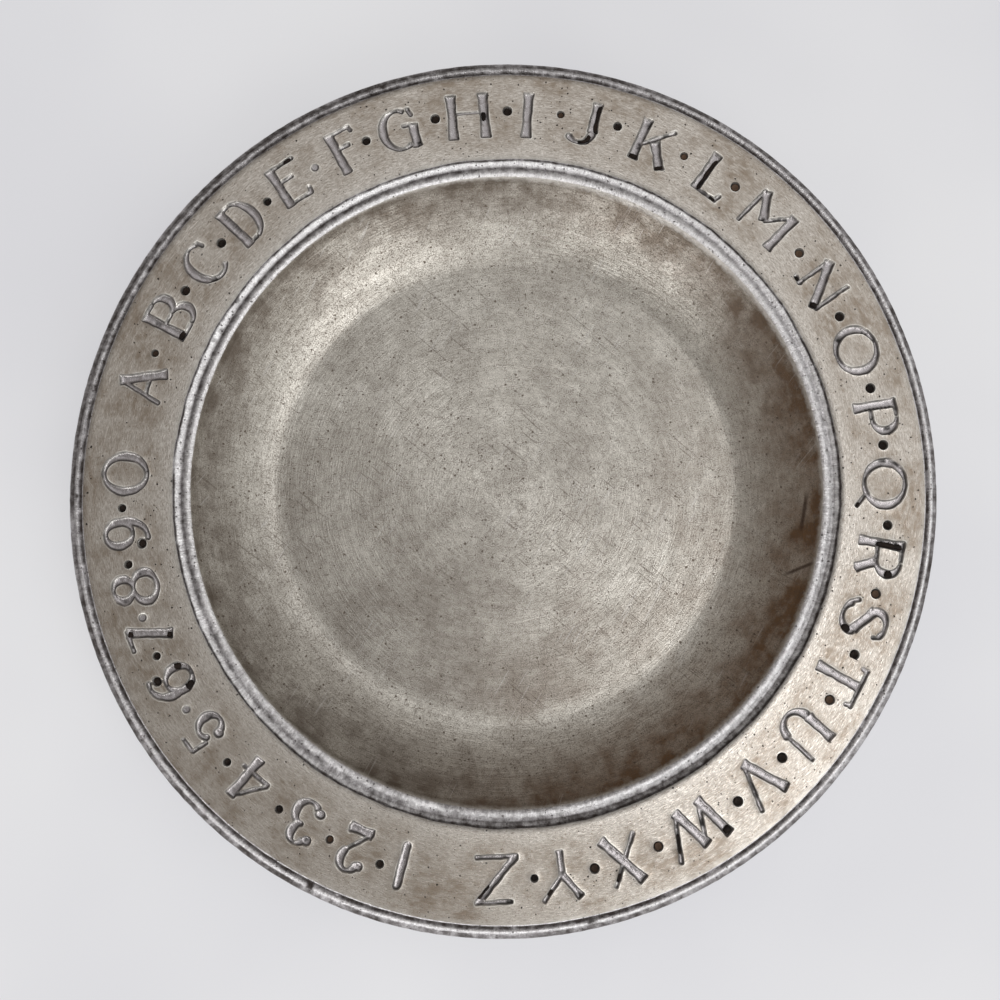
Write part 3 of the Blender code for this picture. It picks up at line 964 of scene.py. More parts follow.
@dataclass
class Sector:
    """The part of the flat field that holds one sign and its dot. Sizes in millimetres.

    It covers a run of the plate's columns, clockwise, and its border is the numbers of the points round it.
    """

    plate: "PlateCasting"
    sign: Sign
    run: list[int]
    border: Array
    step: float = 0.32
    levels: tuple[float, ...] = (-0.40, -0.13, 0.05, 0.22, 0.48, 0.85)
    margin: float = 0.75
    side_gap: float = 0.05
    filler_gap: float = 0.35
    filler_shift: float = 0.25
    merge_within: float = 1e-5
    slope_step: float = 0.04
    wear_and_shading: WearAndShading = WearAndShading()

    def depths(self, places: Array) -> tuple[Array, Array]:
        """Distance inside the nearest edge, and depth, at places about the sign's middle."""
        return self.plate.carving.depths(self.sign, places)

    def build(self) -> None:
        """Carve the sign and its dot into the part."""
        known = np.vstack(self.plate.surface.points)[self.border]
        places = [self.sign.to_sign(known[:, :2])]
        count = len(self.border)
        edges = [np.stack((np.arange(count), np.roll(np.arange(count), -1)), axis=1)]
        low, high = self.sign.span()
        xs, ys = (np.arange(a - self.margin, b + self.margin, self.step) for a, b in zip(low, high))
        grid = np.stack(np.meshgrid(xs, ys), axis=-1).reshape(-1, 2)
        inside = self.depths(grid)[0].reshape(len(ys), len(xs))
        for level in self.levels:
            points, pairs = contour(inside, xs, ys, level)
            kept = self.within(points)
            edges.append((np.cumsum(kept) - 1)[pairs[kept[pairs].all(axis=1)]] + count)
            places.append(points[kept])
            count += int(kept.sum())
        places.append(self.filler())
        self.triangulate(np.vstack(places), np.vstack(edges))

    def within(self, places: Array) -> Array:
        """Tell which places about the sign's middle lie clear of the part's two sides.

        Args:
            places: rows of x and y.

        Returns:
            True for each place that lies clear.
        """
        step = math.tau / self.plate.columns
        flat = self.sign.to_plate(places)
        past = (self.run[0] * step - np.arctan2(flat[:, 1], flat[:, 0])) % math.tau
        gap = self.side_gap / self.plate.sizes.letter_radius
        return (past > gap) & (past < (len(self.run) - 1) * step - gap)

    def filler(self) -> Array:
        """Loose points that keep the triangles even on the flat.

        Returns:
            Rows of x and y about the sign's middle.
        """
        step = math.tau / self.plate.columns
        start, end = self.run[0] * step, (self.run[0] - len(self.run) + 1) * step
        rows = []
        for k, radius in enumerate(self.plate.field_rows):
            number = max(2, round((start - end) * radius / self.plate.field_step))
            shift = self.filler_shift if k % 2 else -self.filler_shift
            turn = start + (end - start) * (np.arange(1, number) - shift) / number
            rows.append(np.stack((radius * np.cos(turn), radius * np.sin(turn)), axis=1))
        flat = self.sign.to_sign(np.vstack(rows))
        inside, _ = self.depths(flat)
        return flat[inside < min(self.levels) - self.filler_gap]

    def triangulate(self, places: Array, edges: Array) -> None:
        """Fill the part with triangles that follow the edges, and sink its points.

        Args:
            places: rows of x and y about the sign's middle, border points first.
            edges: rows of two place numbers.
        """
        rows = [Vector(p) for p in places]
        made, _, triangles, origin, _, _ = delaunay_2d_cdt(rows, edges.tolist(), [], 1, self.merge_within)
        found = np.array([(p.x, p.y) for p in made])
        number = np.full(len(made), -1)
        for i, sources in enumerate(origin):
            known = [k for k in sources if k < len(self.border)]
            if known:
                number[i] = self.border[known[0]]
        fresh = np.nonzero(number < 0)[0]
        number[fresh] = self.sunk(found[fresh])
        for a, b, c in triangles:
            corners = (number[a], number[b], number[c])
            (ax, ay), (bx, by), (cx, cy) = found[a], found[b], found[c]
            turn = (bx - ax) * (cy - ay) - (by - ay) * (cx - ax)
            self.plate.surface.face(corners if turn > 0 else corners[::-1], Zone.FIELD)

    def sunk(self, places: Array) -> Array:
        """Add carved points.

        Args:
            places: rows of x and y about the sign's middle.

        Returns:
            Point numbers.
        """
        wear_and_shading, plate = self.wear_and_shading, self.plate
        flat = self.sign.to_plate(places)
        inside, depth = self.depths(places)
        level = plate.sizes.rim_top + plate.waviness(flat) + plate.carving.burr_height(inside, flat)
        rough = FINE_BOTTOM.at(flat) + COARSE_BOTTOM.at(flat)
        level -= depth * (1 + wear_and_shading.roughness * rough * (depth > 0))
        groove = np.clip((inside - wear_and_shading.groove_start) / wear_and_shading.groove_run, 0, 1)
        facing = self.shaded(places, inside)
        away = np.clip(facing, 0, 1)
        # Dark lines along the edges: dirt and painted shade, heavier and wider on walls turned from the
        # light.
        patchy = wear_and_shading.line_amount + wear_and_shading.away_amount * facing + DIRT_PATCH.at(flat) + DIRT_SPOT.at(flat)
        spread = wear_and_shading.line_spread + wear_and_shading.away_spread * away
        lines = bell(inside, wear_and_shading.line_middle + wear_and_shading.away_shift * away, spread)
        lines *= np.clip(patchy, wear_and_shading.line_least, 1)
        shallow = np.clip(1.0 - wear_and_shading.shallow_fade * (depth - wear_and_shading.shallow_depth), 0, 1)
        lines *= 1 - shallow * (inside > wear_and_shading.shallow_start)
        grime = np.clip(lines + self.stains(places) * (inside > 0), 0, 1)
        bright_metal = bell(inside, wear_and_shading.rub_middle, wear_and_shading.rub_spread) * (wear_and_shading.rub_amount + EDGE_RUB.at(flat))
        # Painted highlight on walls turned to the light, added to the rubbing along the edges.
        lit = bell(inside, wear_and_shading.lit_middle, wear_and_shading.lit_spread) * np.clip(-facing, 0, 1) * wear_and_shading.lit_amount
        burr = np.clip(np.maximum(bright_metal, lit), 0, 1)
        return plate.surface.add(np.column_stack((flat, level)), groove, grime, burr)

    def shaded(self, places: Array, inside: Array) -> Array:
        """How far the stroke's wall at each place turns from the light, which sets the painted shade and
        painted highlight along the strokes.

        Args:
            places: rows of x and y about the sign's middle.
            inside: distances inside the nearest edge.

        Returns:
            Values from -1, facing the light, to 1.
        """
        shifts = np.eye(2) * self.slope_step
        ahead = [self.depths(places + shift)[0] - inside for shift in shifts]
        inward = np.stack(ahead, axis=1) / self.slope_step @ self.sign.frame.T
        return np.clip(inward @ aim(self.plate.unlit_side), -1, 1)

    def stains(self, places: Array) -> Array:
        """Dark spots too thin to be pieces of filling.

        Args:
            places: rows of x and y about the sign's middle.

        Returns:
            How dark each place is, 0 to 1.
        """
        total = np.zeros(len(places))
        for stain in STAINS:
            if stain.sign != self.sign.name:
                continue
            stroke = self.sign.strokes[stain.stroke]
            for share in np.linspace(stain.start, stain.end, self.wear_and_shading.stain_steps):
                station, ahead = stroke.at(share)
                middle = station[:2] + stain.side * station[2] / 2 * np.array((ahead[1], -ahead[0]))
                gap = np.hypot(*(places - middle).T)
                total = np.maximum(total, bell(gap, 0.0, stain.size, self.wear_and_shading.stain_power))
        return total * (self.wear_and_shading.stain_amount + STAIN_SPOT.at(places))


@dataclass
class PlateCasting:
    """The whole casting as one closed, carved mesh. Sizes in millimetres, sides in degrees.

    The rows of the profiles are the distance from the field's edge, the drop below the rim's face, and the
    ring's dirt and painted shade, brightness from rubbing and lean where it has them; the lean paints a
    highlight on the side that faces the light and shade on the other.
    """

    sizes: PlateSizes
    columns: int = 768
    field_step: float = 1.25
    # Direction faced by walls turned from the light, towards which shade is painted, and the upper limit of
    # the rings' dirt and painted shade.
    unlit_side: float = 130.0
    darkest: float = 0.82
    # Painted shade on one side of the lip: its strength and the side's angle.
    lip_shade: float = 0.20
    shade_side: float = 238.0
    # How strongly a ring's lean paints shade on flanks turned from the light and a highlight on flanks
    # turned to it.
    side_shading: float = 0.85
    rub_least: float = 0.8
    wander_radius: float = 80.0
    edge_wander: float = 0.14
    wander_row: int = 11
    cast_row: int = 2
    lip_grain: float = 0.05
    edge_grain: float = 0.055
    under_grain: float = 0.04
    recess_grain: float = 0.03
    nick_reach: float = 1.5
    nick_dirt: float = 3.2
    even_floor: float = 22.5
    floor_end: float = 2.0
    floor_steps: int = 13
    wall_end: float = 0.6
    wall_steps: int = 24
    under_start: float = 3.0
    under_end: float = 1.5
    under_steps: int = 8
    back_steps: int = 16
    back_low: float = 0.5
    back_high: float = 0.4
    slope_step: float = 0.1
    floor_rings: tuple[tuple[int, tuple[float, ...]], ...] = (
        (32, (1.5, 3.5)), (16, (6.0, 9.0)), (8, (12.0, 15.5, 19.0))
    )
    recess_rings: tuple[tuple[int, tuple[float, ...]], ...] = ((8, (16.0, 11.0)), (16, (7.0, 3.5)))
    # Columns: inset from the field's edge, drop, dirt and painted shade (darkest in the crease), rubbing,
    # lean.
    lip_profile: tuple[tuple[float, ...], ...] = (
        (4.50, 1.45),
        (4.25, 1.05, 0.0, 0.2, -0.3),
        (4.00, 0.74, 0.0, 0.5, -0.4),
        (3.65, 0.58, 0.05, 0.5, -0.3),
        (3.20, 0.56, 0.10, 0.4, 0.3),
        (2.75, 0.68, 0.15, 0.3, 0.5),
        (2.35, 0.88, 0.25, 0.2, 0.55),
        (2.00, 1.08, 0.30, 0.0, 0.5),
        (1.65, 1.16, 0.30),
        (1.30, 1.08, 0.15, 0.2, -0.6),
        (1.00, 0.88, 0.0, 0.5, -0.7),
        (0.70, 0.68, 0.0, 0.5, -0.7),
        (0.45, 0.58, 0.30, 0.2, -0.5),
        (0.25, 0.60, 0.85, 0.0, -0.6),
        (0.10, 0.40, 0.90, 0.0, -0.2),
    )
    # Columns: distance out from the field's edge, drop, dirt and painted shade (darkest in the groove),
    # rubbing, lean.
    groove_profile: tuple[tuple[float, ...], ...] = (
        (0.15, 0.03, 0.0, 0.1, 0.7),
        (0.30, 0.14, 0.05, 0.2, 0.9),
        (0.42, 0.42, 0.70, 0.0, 0.2),
        (0.62, 0.70, 0.80),
        (0.98, 0.74, 0.80),
        (1.22, 0.56, 0.45),
        (1.42, 0.34, 0.10, 0.3, 0.4),
        (1.64, 0.22, 0.0, 0.5, 0.8),
        (1.90, 0.24, 0.0, 0.5, 0.8),
        (2.15, 0.44, 0.20, 0.3, 0.6),
        (2.50, 0.76, 0.55, 0.0, 0.4),
    )
    carving: Carving = field(init=False)
    surface: Surface = field(default_factory=Surface)

    def __post_init__(self) -> None:
        """Set up the carving."""
        self.carving = Carving(self.sizes)

    def signs(self) -> list[Sign]:
        """All letters and numerals at their places."""
        strokes = LetterPen(self.sizes.letter_height).signs()
        signs = []
        for place in LAYOUT:
            stretch = np.array((*place.cut.value, 1.0))
            fitted = [replace(s, stations=s.stations * stretch) for s in strokes[place.name]]
            signs.append(Sign(place, fitted, self.sizes.letter_radius))
        return signs

    def waviness(self, places: Array) -> Array:
        """Slow unevenness of the finished faces, in millimetres."""
        return LONG_WAVE.at(places) + SHORT_WAVE.at(places)

    def ring(self, row: Row, columns: int, grain: float = 0.0, wander: float = 0.0) -> Array:
        """Add a ring of points.

        Args:
            row: where it lies, how worn it is, and how much dirt, painted shade and painted highlight it
                carries.
            columns: number of points.
            grain: depth of the as-cast grain in millimetres.
            wander: how far it strays from a true circle, in millimetres.

        Returns:
            Point numbers, counter-clockwise from +X as seen from above.
        """
        turn = np.arange(columns) * math.tau / columns
        outward = np.stack((np.cos(turn), np.sin(turn)), axis=1)
        rim = outward * self.wander_radius
        stray = wander * (SLOW_WANDER.at(rim) + QUICK_WANDER.at(rim))
        flat = outward * (row.radius + stray)[:, None]
        uneven = self.waviness(flat) * (row.height > self.sizes.recess_depth)
        places = np.column_stack((flat, row.height + uneven))
        # Painted light: flanks that lean towards the light get a painted highlight and lose their
        # darkening, flanks that lean away get painted shade.
        lean = row.tilt * np.cos(turn - math.radians(self.unlit_side + 180))
        lit_side = np.clip(lean, 0, 1)
        darkening = row.grime * (1 + RING_DIRT.at(places) + RING_CLOUD.at(flat))
        darkening = darkening * (1 - self.side_shading * lit_side**2) + self.side_shading * np.clip(-lean, 0, 1)
        bright = (row.rub + lit_side) * (self.rub_least + RING_RUB.at(flat))
        if grain:
            places[:, 2] += grain * (FINE_GRAIN.at(places) + COARSE_GRAIN.at(places))
            places[:, :2] += outward * (grain * SIDE_GRAIN.at(places))[:, None]
            for nick in NICKS:
                near = bell(np.hypot(*(flat - nick.radius * aim(nick.angle)).T), 0.0, nick.width)
                places[:, 2] -= nick.depth * near * (row.height > self.sizes.rim_top - self.nick_reach)
                darkening = np.maximum(darkening, nick.depth * self.nick_dirt * near)
        return self.surface.add(places, grime=np.clip(darkening, 0, self.darkest), burr=np.clip(bright, 0, 1))

    def well_height(self, radius: float) -> float:
        """Height of the well's side at a radius."""
        s = self.sizes
        share = max(0.0, (radius - s.floor_radius) / s.well_run)
        return s.floor_top + (s.rim_top - s.wall_top_drop - s.floor_top) * share**s.well_curve

    def well(self) -> Array:
        """Build floor and wall.

        Returns:
            The top ring of the wall.
        """
        s = self.sizes
        middle = self.surface.add(np.array(((0.0, 0.0, s.floor_top),)))[0]
        rings = []
        for coarser, radii in self.floor_rings:
            rings += [self.ring(Row(r, s.floor_top), self.columns // coarser) for r in radii]
        for radius in np.linspace(self.even_floor, s.floor_radius - self.floor_end, self.floor_steps):
            rings.append(self.ring(Row(radius, s.floor_top), self.columns // 4))
        for radius in np.linspace(s.floor_radius, s.well_radius - self.wall_end, self.wall_steps):
            rings.append(self.ring(Row(radius, self.well_height(radius)), self.columns // 2))
        self.surface.fan(rings[0], middle, Zone.WELL, True)
        for inner, outer in zip(rings, rings[1:]):
            self.surface.stitch(inner, outer, Zone.WELL)
        return rings[-1]

    def inner_border(self, wall_top: Array) -> Array:
        """Build the rounded lip and the cove between the wall and the field.

        Args:
            wall_top: top ring of the wall.

        Returns:
            The ring at the foot of the field's inner edge.
        """
        s = self.sizes
        edge, top = s.crease_radius, s.rim_top
        rows = [Row(edge - inset, top - drop, *worn) for inset, drop, *worn in self.lip_profile]
        previous = wall_top
        turn = np.arange(self.columns) * math.tau / self.columns
        # Painted shade on the lip, strongest on one side of the plate.
        painted_shade = self.lip_shade * np.clip(np.cos(turn - math.radians(self.shade_side)), 0, 1)
        for number, row in enumerate(rows):
            wander = self.edge_wander if number >= self.wander_row else 0.0
            ring = self.ring(replace(row, grime=row.grime + painted_shade), self.columns, self.lip_grain, wander)
            self.surface.stitch(previous, ring, Zone.WELL if number < self.cast_row else Zone.CAST)
            previous = ring
        return previous

    def field_edges(self) -> tuple[Array, Array]:
        """Add the field's inner and outer edge rings."""
        s = self.sizes
        # The crease at the inner edge is darkened by dirt and painted shade; each edge's lean paints a
        # highlight on the side facing the light and shade on the other.
        inner = Row(s.crease_radius, s.rim_top, grime=0.40, tilt=-0.6)
        outer = Row(s.field_radius, s.rim_top, grime=0.15, tilt=0.5)
        return self.ring(inner, self.columns, wander=self.edge_wander), self.ring(outer, self.columns)

    @property
    def field_rows(self) -> Array:
        """Radii of the rows of loose points between the field's edges."""
        s = self.sizes
        count = round(s.field_width / self.field_step) + 1
        return np.linspace(s.crease_radius, s.field_radius, count)[1:-1]

    def seams(self, signs: list[Sign]) -> list[int]:
        """Columns at which the field is divided, one before each sign.

        Args:
            signs: the letters and numerals in order.

        Returns:
            Column numbers, one for each sign.
        """
        step = 360.0 / self.columns
        columns = []
        for before, sign in zip([signs[-1], *signs[:-1]], signs):
            start, end = sign.reach()[0], before.reach()[1]
            turn = 360.0 if end < start - 180 else 0.0
            columns.append(round((start + end + turn) / 2 / step) % self.columns)
        return columns

    def carved_field(self) -> tuple[Array, Array]:
        """Build the flat field with its letters, numerals and dots.

        Returns:
            The inner and the outer edge ring.
        """
        inner, outer = self.field_edges()
        signs = self.signs()
        seams = self.seams(signs)
        sides = [self.seam_points(c, inner, outer) for c in seams]
        for i, sign in enumerate(signs):
            j = (i + 1) % len(signs)
            run = [(seams[i] - k) % self.columns for k in range((seams[i] - seams[j]) % self.columns + 1)]
            border = (sides[i], outer[run][1:-1], sides[j][::-1], inner[run][1:-1][::-1])
            Sector(self, sign, run, np.concatenate(border)).build()
        return inner, outer

    def seam_points(self, column: int, inner: Array, outer: Array) -> Array:
        """Add the points of a division of the field.

        Args:
            column: which column it follows.
            inner: the field's inner ring.
            outer: the field's outer ring.

        Returns:
            Point numbers from the inner to the outer edge.
        """
        turn = math.tau * column / self.columns
        flat = np.outer(self.field_rows, (math.cos(turn), math.sin(turn)))
        made = self.surface.add(np.column_stack((flat, self.sizes.rim_top + self.waviness(flat))))
        return np.concatenate(([inner[column]], made, [outer[column]]))

    def outer_border(self, field_edge: Array) -> Array:
        """Build the outer groove, bead and edge.

        Args:
            field_edge: the field's outer ring.

        Returns:
            The last ring, at the underside's rim.
        """
        s = self.sizes
        top, edge, under = s.rim_top, s.rim_radius + s.edge_swell, s.rim_top - s.rim_thickness
        rows = [Row(s.field_radius + out, top - drop, *worn) for out, drop, *worn in self.groove_profile]
        rows += [
            Row(edge - 0.42, top - 1.15, 0.58),
            Row(edge, top - 1.75, 0.50),
            Row(edge - 0.10, under + 0.85, 0.40),
            Row(edge - 0.45, under + 0.25, 0.30),
            Row(edge - 1.10, under, 0.20),
        ]
        previous = field_edge
        for row in rows:
            ring = self.ring(row, self.columns, self.edge_grain)
            self.surface.stitch(previous, ring, Zone.CAST)
            previous = ring
        return previous

    def underside(self, rim_ring: Array) -> None:
        """Build the hidden side: rim, wall, foot ring and shallow recess.

        Args:
            rim_ring: last ring of the outer border.
        """
        s = self.sizes
        half = self.columns // 2
        under = s.rim_top - s.rim_thickness
        recess = s.floor_radius - s.recess_margin
        rings = [rim_ring]
        start, end = s.rim_radius - self.under_start, s.crease_radius + self.under_end
        for radius in np.linspace(start, end, self.under_steps):
            rings.append(self.ring(Row(radius, under), half, self.under_grain))
        for radius in np.linspace(s.well_radius, s.floor_radius, self.back_steps):
            low, high = (self.well_height(radius + step) for step in (-self.slope_step, self.slope_step))
            slope = (high - low) / (2 * self.slope_step)
            lean = math.hypot(slope, 1)
            row = Row(radius + slope / lean * s.wall, self.well_height(radius) - s.wall / lean)
            if self.back_low < row.height < under - self.back_high:
                rings.append(self.ring(row, half, self.under_grain))
        foot = (
            Row(s.floor_radius - 0.3, 0.12),
            Row(s.floor_radius - 1.0, 0.0),
            Row(recess + 0.7, 0.0),
            Row(recess, s.recess_depth),
        )
        rings += [self.ring(row, half) for row in foot]
        for radius in np.linspace(recess - self.floor_end, self.even_floor, self.under_steps):
            rings.append(self.ring(Row(radius, s.recess_depth), self.columns // 4, self.recess_grain))
        for coarser, radii in self.recess_rings:
            rings += [self.ring(Row(r, s.recess_depth), self.columns // coarser) for r in radii]
        for first, second in zip(rings, rings[1:]):
            self.surface.stitch(first, second, Zone.CAST)
        middle = self.surface.add(np.array(((0.0, 0.0, s.recess_depth),)))[0]
        self.surface.fan(rings[-1], middle, Zone.CAST, False)

    def build(self) -> bpy.types.Object:
        """Make the casting.

        Returns:
            The mesh object, riding on the plate's body.
        """
        wall_top = self.well()
        foot = self.inner_border(wall_top)
        inner, outer = self.carved_field()
        self.surface.stitch(foot, inner, Zone.CAST)
        rim_ring = self.outer_border(outer)
        self.underside(rim_ring)
        plate = self.surface.build("plate", self.sizes)
        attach(plate, BODY)
        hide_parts(PLATE_NODE)
        LOG.info("plate: %d points, %d faces", len(plate.data.vertices), len(plate.data.polygons))
        return plate


def seen(red: int, green: int, blue: int) -> tuple[float, float, float, float]:
    """Turn a colour as seen, 0 to 255, into the renderer's linear colour."""
    parts = [c / 255 for c in (red, green, blue)]
    line = [c / 12.92 if c <= 0.04045 else ((c + 0.055) / 1.055) ** 2.4 for c in parts]
    return (line[0], line[1], line[2], 1.0)


@dataclass
class Wiring:
    """Adds nodes to a shader tree and joins them."""

    tree: bpy.types.NodeTree
    nearest: float = 1e-4

    def feed(self, socket: Socket, value: object) -> None:
        """Link a socket to another, or set its value."""
        if isinstance(value, Socket):
            self.tree.links.new(value, socket)
        else:
            socket.default_value = value

    def node(
        self, kind: str, feeds: dict[str | int, object] | None = None, **settings: object
    ) -> Node:
        """Add a node.

        Args:
            kind: the node's type.
            feeds: values or links for its inputs, by name or number.
            settings: the node's own settings.

        Returns:
            The node.
        """
        made = self.tree.nodes.new(kind)
        for key, value in settings.items():
            setattr(made, key, value)
        self.fit(made, feeds or {})
        return made

    def fit(self, node: Node, feeds: dict[str | int, object]) -> None:
        """Feed several of a node's inputs, by name or number."""
        for key, value in feeds.items():
            self.feed(node.inputs[key], value)

    def math(self, operation: str, *values: object) -> Socket:
        """Add a sum of one, two or three values."""
        return self.node("ShaderNodeMath", dict(enumerate(values)), operation=operation).outputs[0]

    def times(self, first: object, second: object) -> Socket:
        """Multiply two values."""
        return self.math("MULTIPLY", first, second)

    def scaled(self, value: object, factor: object, base: object) -> Socket:
        """Multiply a value by a factor and add it to a base."""
        return self.math("MULTIPLY_ADD", value, factor, base)

    def vector(self, operation: str, first: object, second: object) -> Socket:
        """Add a sum of two vectors."""
        return self.node("ShaderNodeVectorMath", {0: first, 1: second}, operation=operation).outputs[0]

    def along(self, way: tuple[float, ...], place: object = None) -> Socket:
        """How far a place, by default one on the piece in metres, lies along a direction."""
        feeds = {0: self.place() if place is None else place, 1: way}
        return self.node("ShaderNodeVectorMath", feeds, operation="DOT_PRODUCT").outputs["Value"]

    def turned(self, place: Socket, angle: object) -> Socket:
        """Turn places about the plate's axis."""
        feeds = {"Vector": place, "Angle": angle}
        return self.node("ShaderNodeVectorRotate", feeds, rotation_type="Z_AXIS").outputs[0]

    def ramp(self, value: object, low: float, high: float, first: float = 0.0, last: float = 1.0) -> Socket:
        """Carry a value over from one range to another, held at both ends."""
        feeds = {0: value, 1: low, 2: high, 3: first, 4: last}
        return self.node("ShaderNodeMapRange", feeds, interpolation_type="SMOOTHSTEP").outputs[0]

    def mix(self, share: object, first: object, second: object) -> Socket:
        """Mix two colours."""
        return self.node("ShaderNodeMix", {0: share, 6: first, 7: second}, data_type="RGBA").outputs[2]

    def layer(self, colour: object, mask: Socket, share: float, tint: object) -> Socket:
        """Lay a share of a tint over a colour where a mask says so."""
        return self.mix(self.times(mask, share), colour, tint)

    def mark(self, name: str) -> Socket:
        """Read one of the marks that the mesh carries."""
        return self.node("ShaderNodeAttribute", attribute_name=name).outputs["Fac"]

    def place(self) -> Socket:
        """Places on the piece itself, in metres."""
        return self.node("ShaderNodeTexCoord").outputs["Object"]

    def around(self) -> tuple[Socket, Socket, Socket]:
        """Places across and up the plate and the distance from its axis, in metres."""
        x, y, _ = self.node("ShaderNodeSeparateXYZ", {0: self.place()}).outputs
        return x, y, self.math("SQRT", self.math("ADD", self.times(x, x), self.times(y, y)))

    def radius(self) -> Socket:
        """Distance from the plate's axis, in metres."""
        return self.around()[2]

    def noise(self, vector: object, scale: object, detail: float = 2.0, roughness: float = 0.5) -> Socket:
        """Add soft random values."""
        feeds = {"Vector": vector, "Scale": scale, "Detail": detail, "Roughness": roughness}
        return self.node("ShaderNodeTexNoise", feeds).outputs[0]

    def polar(self, turns: object, rings: object, shift: object) -> Socket:
        """Places that follow the plate round, without a seam.

        Args:
            turns: how fast they change along the plate's turn.
            rings: how fast they change for each metre of radius.
            shift: moves the pattern.

        Returns:
            The places.
        """
        x, y, radius = self.around()
        safe = self.math("MAXIMUM", radius, self.nearest)
        feeds = {
            0: self.scaled(self.math("DIVIDE", x, safe), turns, shift),
            1: self.times(self.math("DIVIDE", y, safe), turns),
            2: self.times(radius, rings),
        }
        return self.node("ShaderNodeCombineXYZ", feeds).outputs[0]


class Effect:
    """A shader node group that several finishes share."""

    label = "effect"
    entries: tuple[tuple[str, float], ...] = ()
    exits: tuple[str, ...] = ()

    def draw(self, wiring: Wiring, given: dict[str, Socket]) -> list[Socket]:
        """Draw the nodes inside the group.

        Args:
            wiring: adds the nodes.
            given: the group's inputs by name.

        Returns:
            One socket for each output.
        """
        raise NotImplementedError

    def group(self) -> bpy.types.NodeTree:
        """The node group, made on first use."""
        known = bpy.data.node_groups.get(self.label)
        if known:
            return known
        tree = bpy.data.node_groups.new(self.label, "ShaderNodeTree")
        for name, value in self.entries:
            entry = tree.interface.new_socket(name, in_out="INPUT", socket_type="NodeSocketFloat")
            entry.default_value = value
        for name in self.exits:
            tree.interface.new_socket(name, in_out="OUTPUT", socket_type="NodeSocketFloat")
        entry, leave = tree.nodes.new("NodeGroupInput"), tree.nodes.new("NodeGroupOutput")
        wiring = Wiring(tree)
        made = self.draw(wiring, {name: entry.outputs[name] for name, _ in self.entries})
        wiring.fit(leave, dict(zip(self.exits, made)))
        return tree

    def use(self, wiring: Wiring, **given: float) -> list[Socket]:
        """Put the group into a finish.

        Args:
            wiring: adds the node to the finish.
            given: values for the group's inputs.

        Returns:
            The group's outputs.
        """
        node = wiring.node("ShaderNodeGroup", node_tree=self.group())
        wiring.fit(node, given)
        return list(node.outputs)


class BrushMarks(Effect):
    """Fine streaks that run round the plate, left by brushing and scouring."""

    label = "brush_marks"
    entries = (("turns", 10.0), ("rings", 3000.0), ("shift", 0.0))
    exits = ("streaks", "bands")
    band_turns = 0.4
    band_rings = 0.16
    contrast = (0.30, 0.70)

    def draw(self, wiring: Wiring, given: dict[str, Socket]) -> list[Socket]:
        """Draw long streaks and broader bands."""
        fine = wiring.noise(wiring.polar(given["turns"], given["rings"], given["shift"]), 1.0, 3.0, 0.65)
        slow = wiring.times(given["turns"], self.band_turns)
        few = wiring.times(given["rings"], self.band_rings)
        broad = wiring.noise(wiring.polar(slow, few, given["shift"]), 1.0, 2.0, 0.5)
        return [wiring.ramp(fine, *self.contrast), wiring.ramp(broad, *self.contrast)]


class DarkSpecks(Effect):
    """Small dark pits and specks of dirt."""

    label = "dark_specks"
    entries = (("size", 0.0010), ("amount", 0.4))
    exits = ("specks",)
    shake_scale = 1800.0
    shake = 0.0004
    least_width = 0.14
    more_width = 0.30
    softness = 0.35

    def draw(self, wiring: Wiring, given: dict[str, Socket]) -> list[Socket]:
        """Draw irregular specks, one in some of the cells."""
        place = wiring.place()
        feeds = {"Vector": place, "Scale": self.shake_scale, "Detail": 1.0}
        noise = wiring.node("ShaderNodeTexNoise", feeds)
        shake = wiring.vector("MULTIPLY", noise.outputs["Color"], (self.shake,) * 3)
        moved = wiring.vector("ADD", place, shake)
        scale = wiring.math("DIVIDE", 1.0, given["size"])
        cells = wiring.node("ShaderNodeTexVoronoi", {"Vector": moved, "Scale": scale})
        pick = wiring.node("ShaderNodeSeparateColor", {0: cells.outputs["Color"]})
        wide = wiring.scaled(pick.outputs[1], self.more_width, self.least_width)
        close = wiring.math("SUBTRACT", 1.0, wiring.math("DIVIDE", cells.outputs["Distance"], wide))
        chosen = wiring.math("LESS_THAN", pick.outputs[0], given["amount"])
        return [wiring.times(wiring.ramp(close, 0.0, self.softness), chosen)]


class CastingGrain(Effect):
    """Fine grain of metal as it came from the mould."""

    label = "casting_grain"
    entries = (("size", 0.0006),)
    exits = ("grain", "mottle", "pits")
    mottle_scale = 0.22
    grain_range = (0.28, 0.72)
    mottle_range = (0.32, 0.68)
    pit_range = (0.56, 0.68)

    def draw(self, wiring: Wiring, given: dict[str, Socket]) -> list[Socket]:
        """Draw fine grain, a coarser mottle and sparse pits."""
        scale = wiring.math("DIVIDE", 1.0, given["size"])
        place = wiring.place()
        fine = wiring.noise(place, scale, 2.0, 0.6)
        coarse = wiring.noise(place, wiring.times(scale, self.mottle_scale), 3.0, 0.6)
        grain, mottle = wiring.ramp(fine, *self.grain_range), wiring.ramp(coarse, *self.mottle_range)
        return [grain, mottle, wiring.ramp(fine, *self.pit_range)]


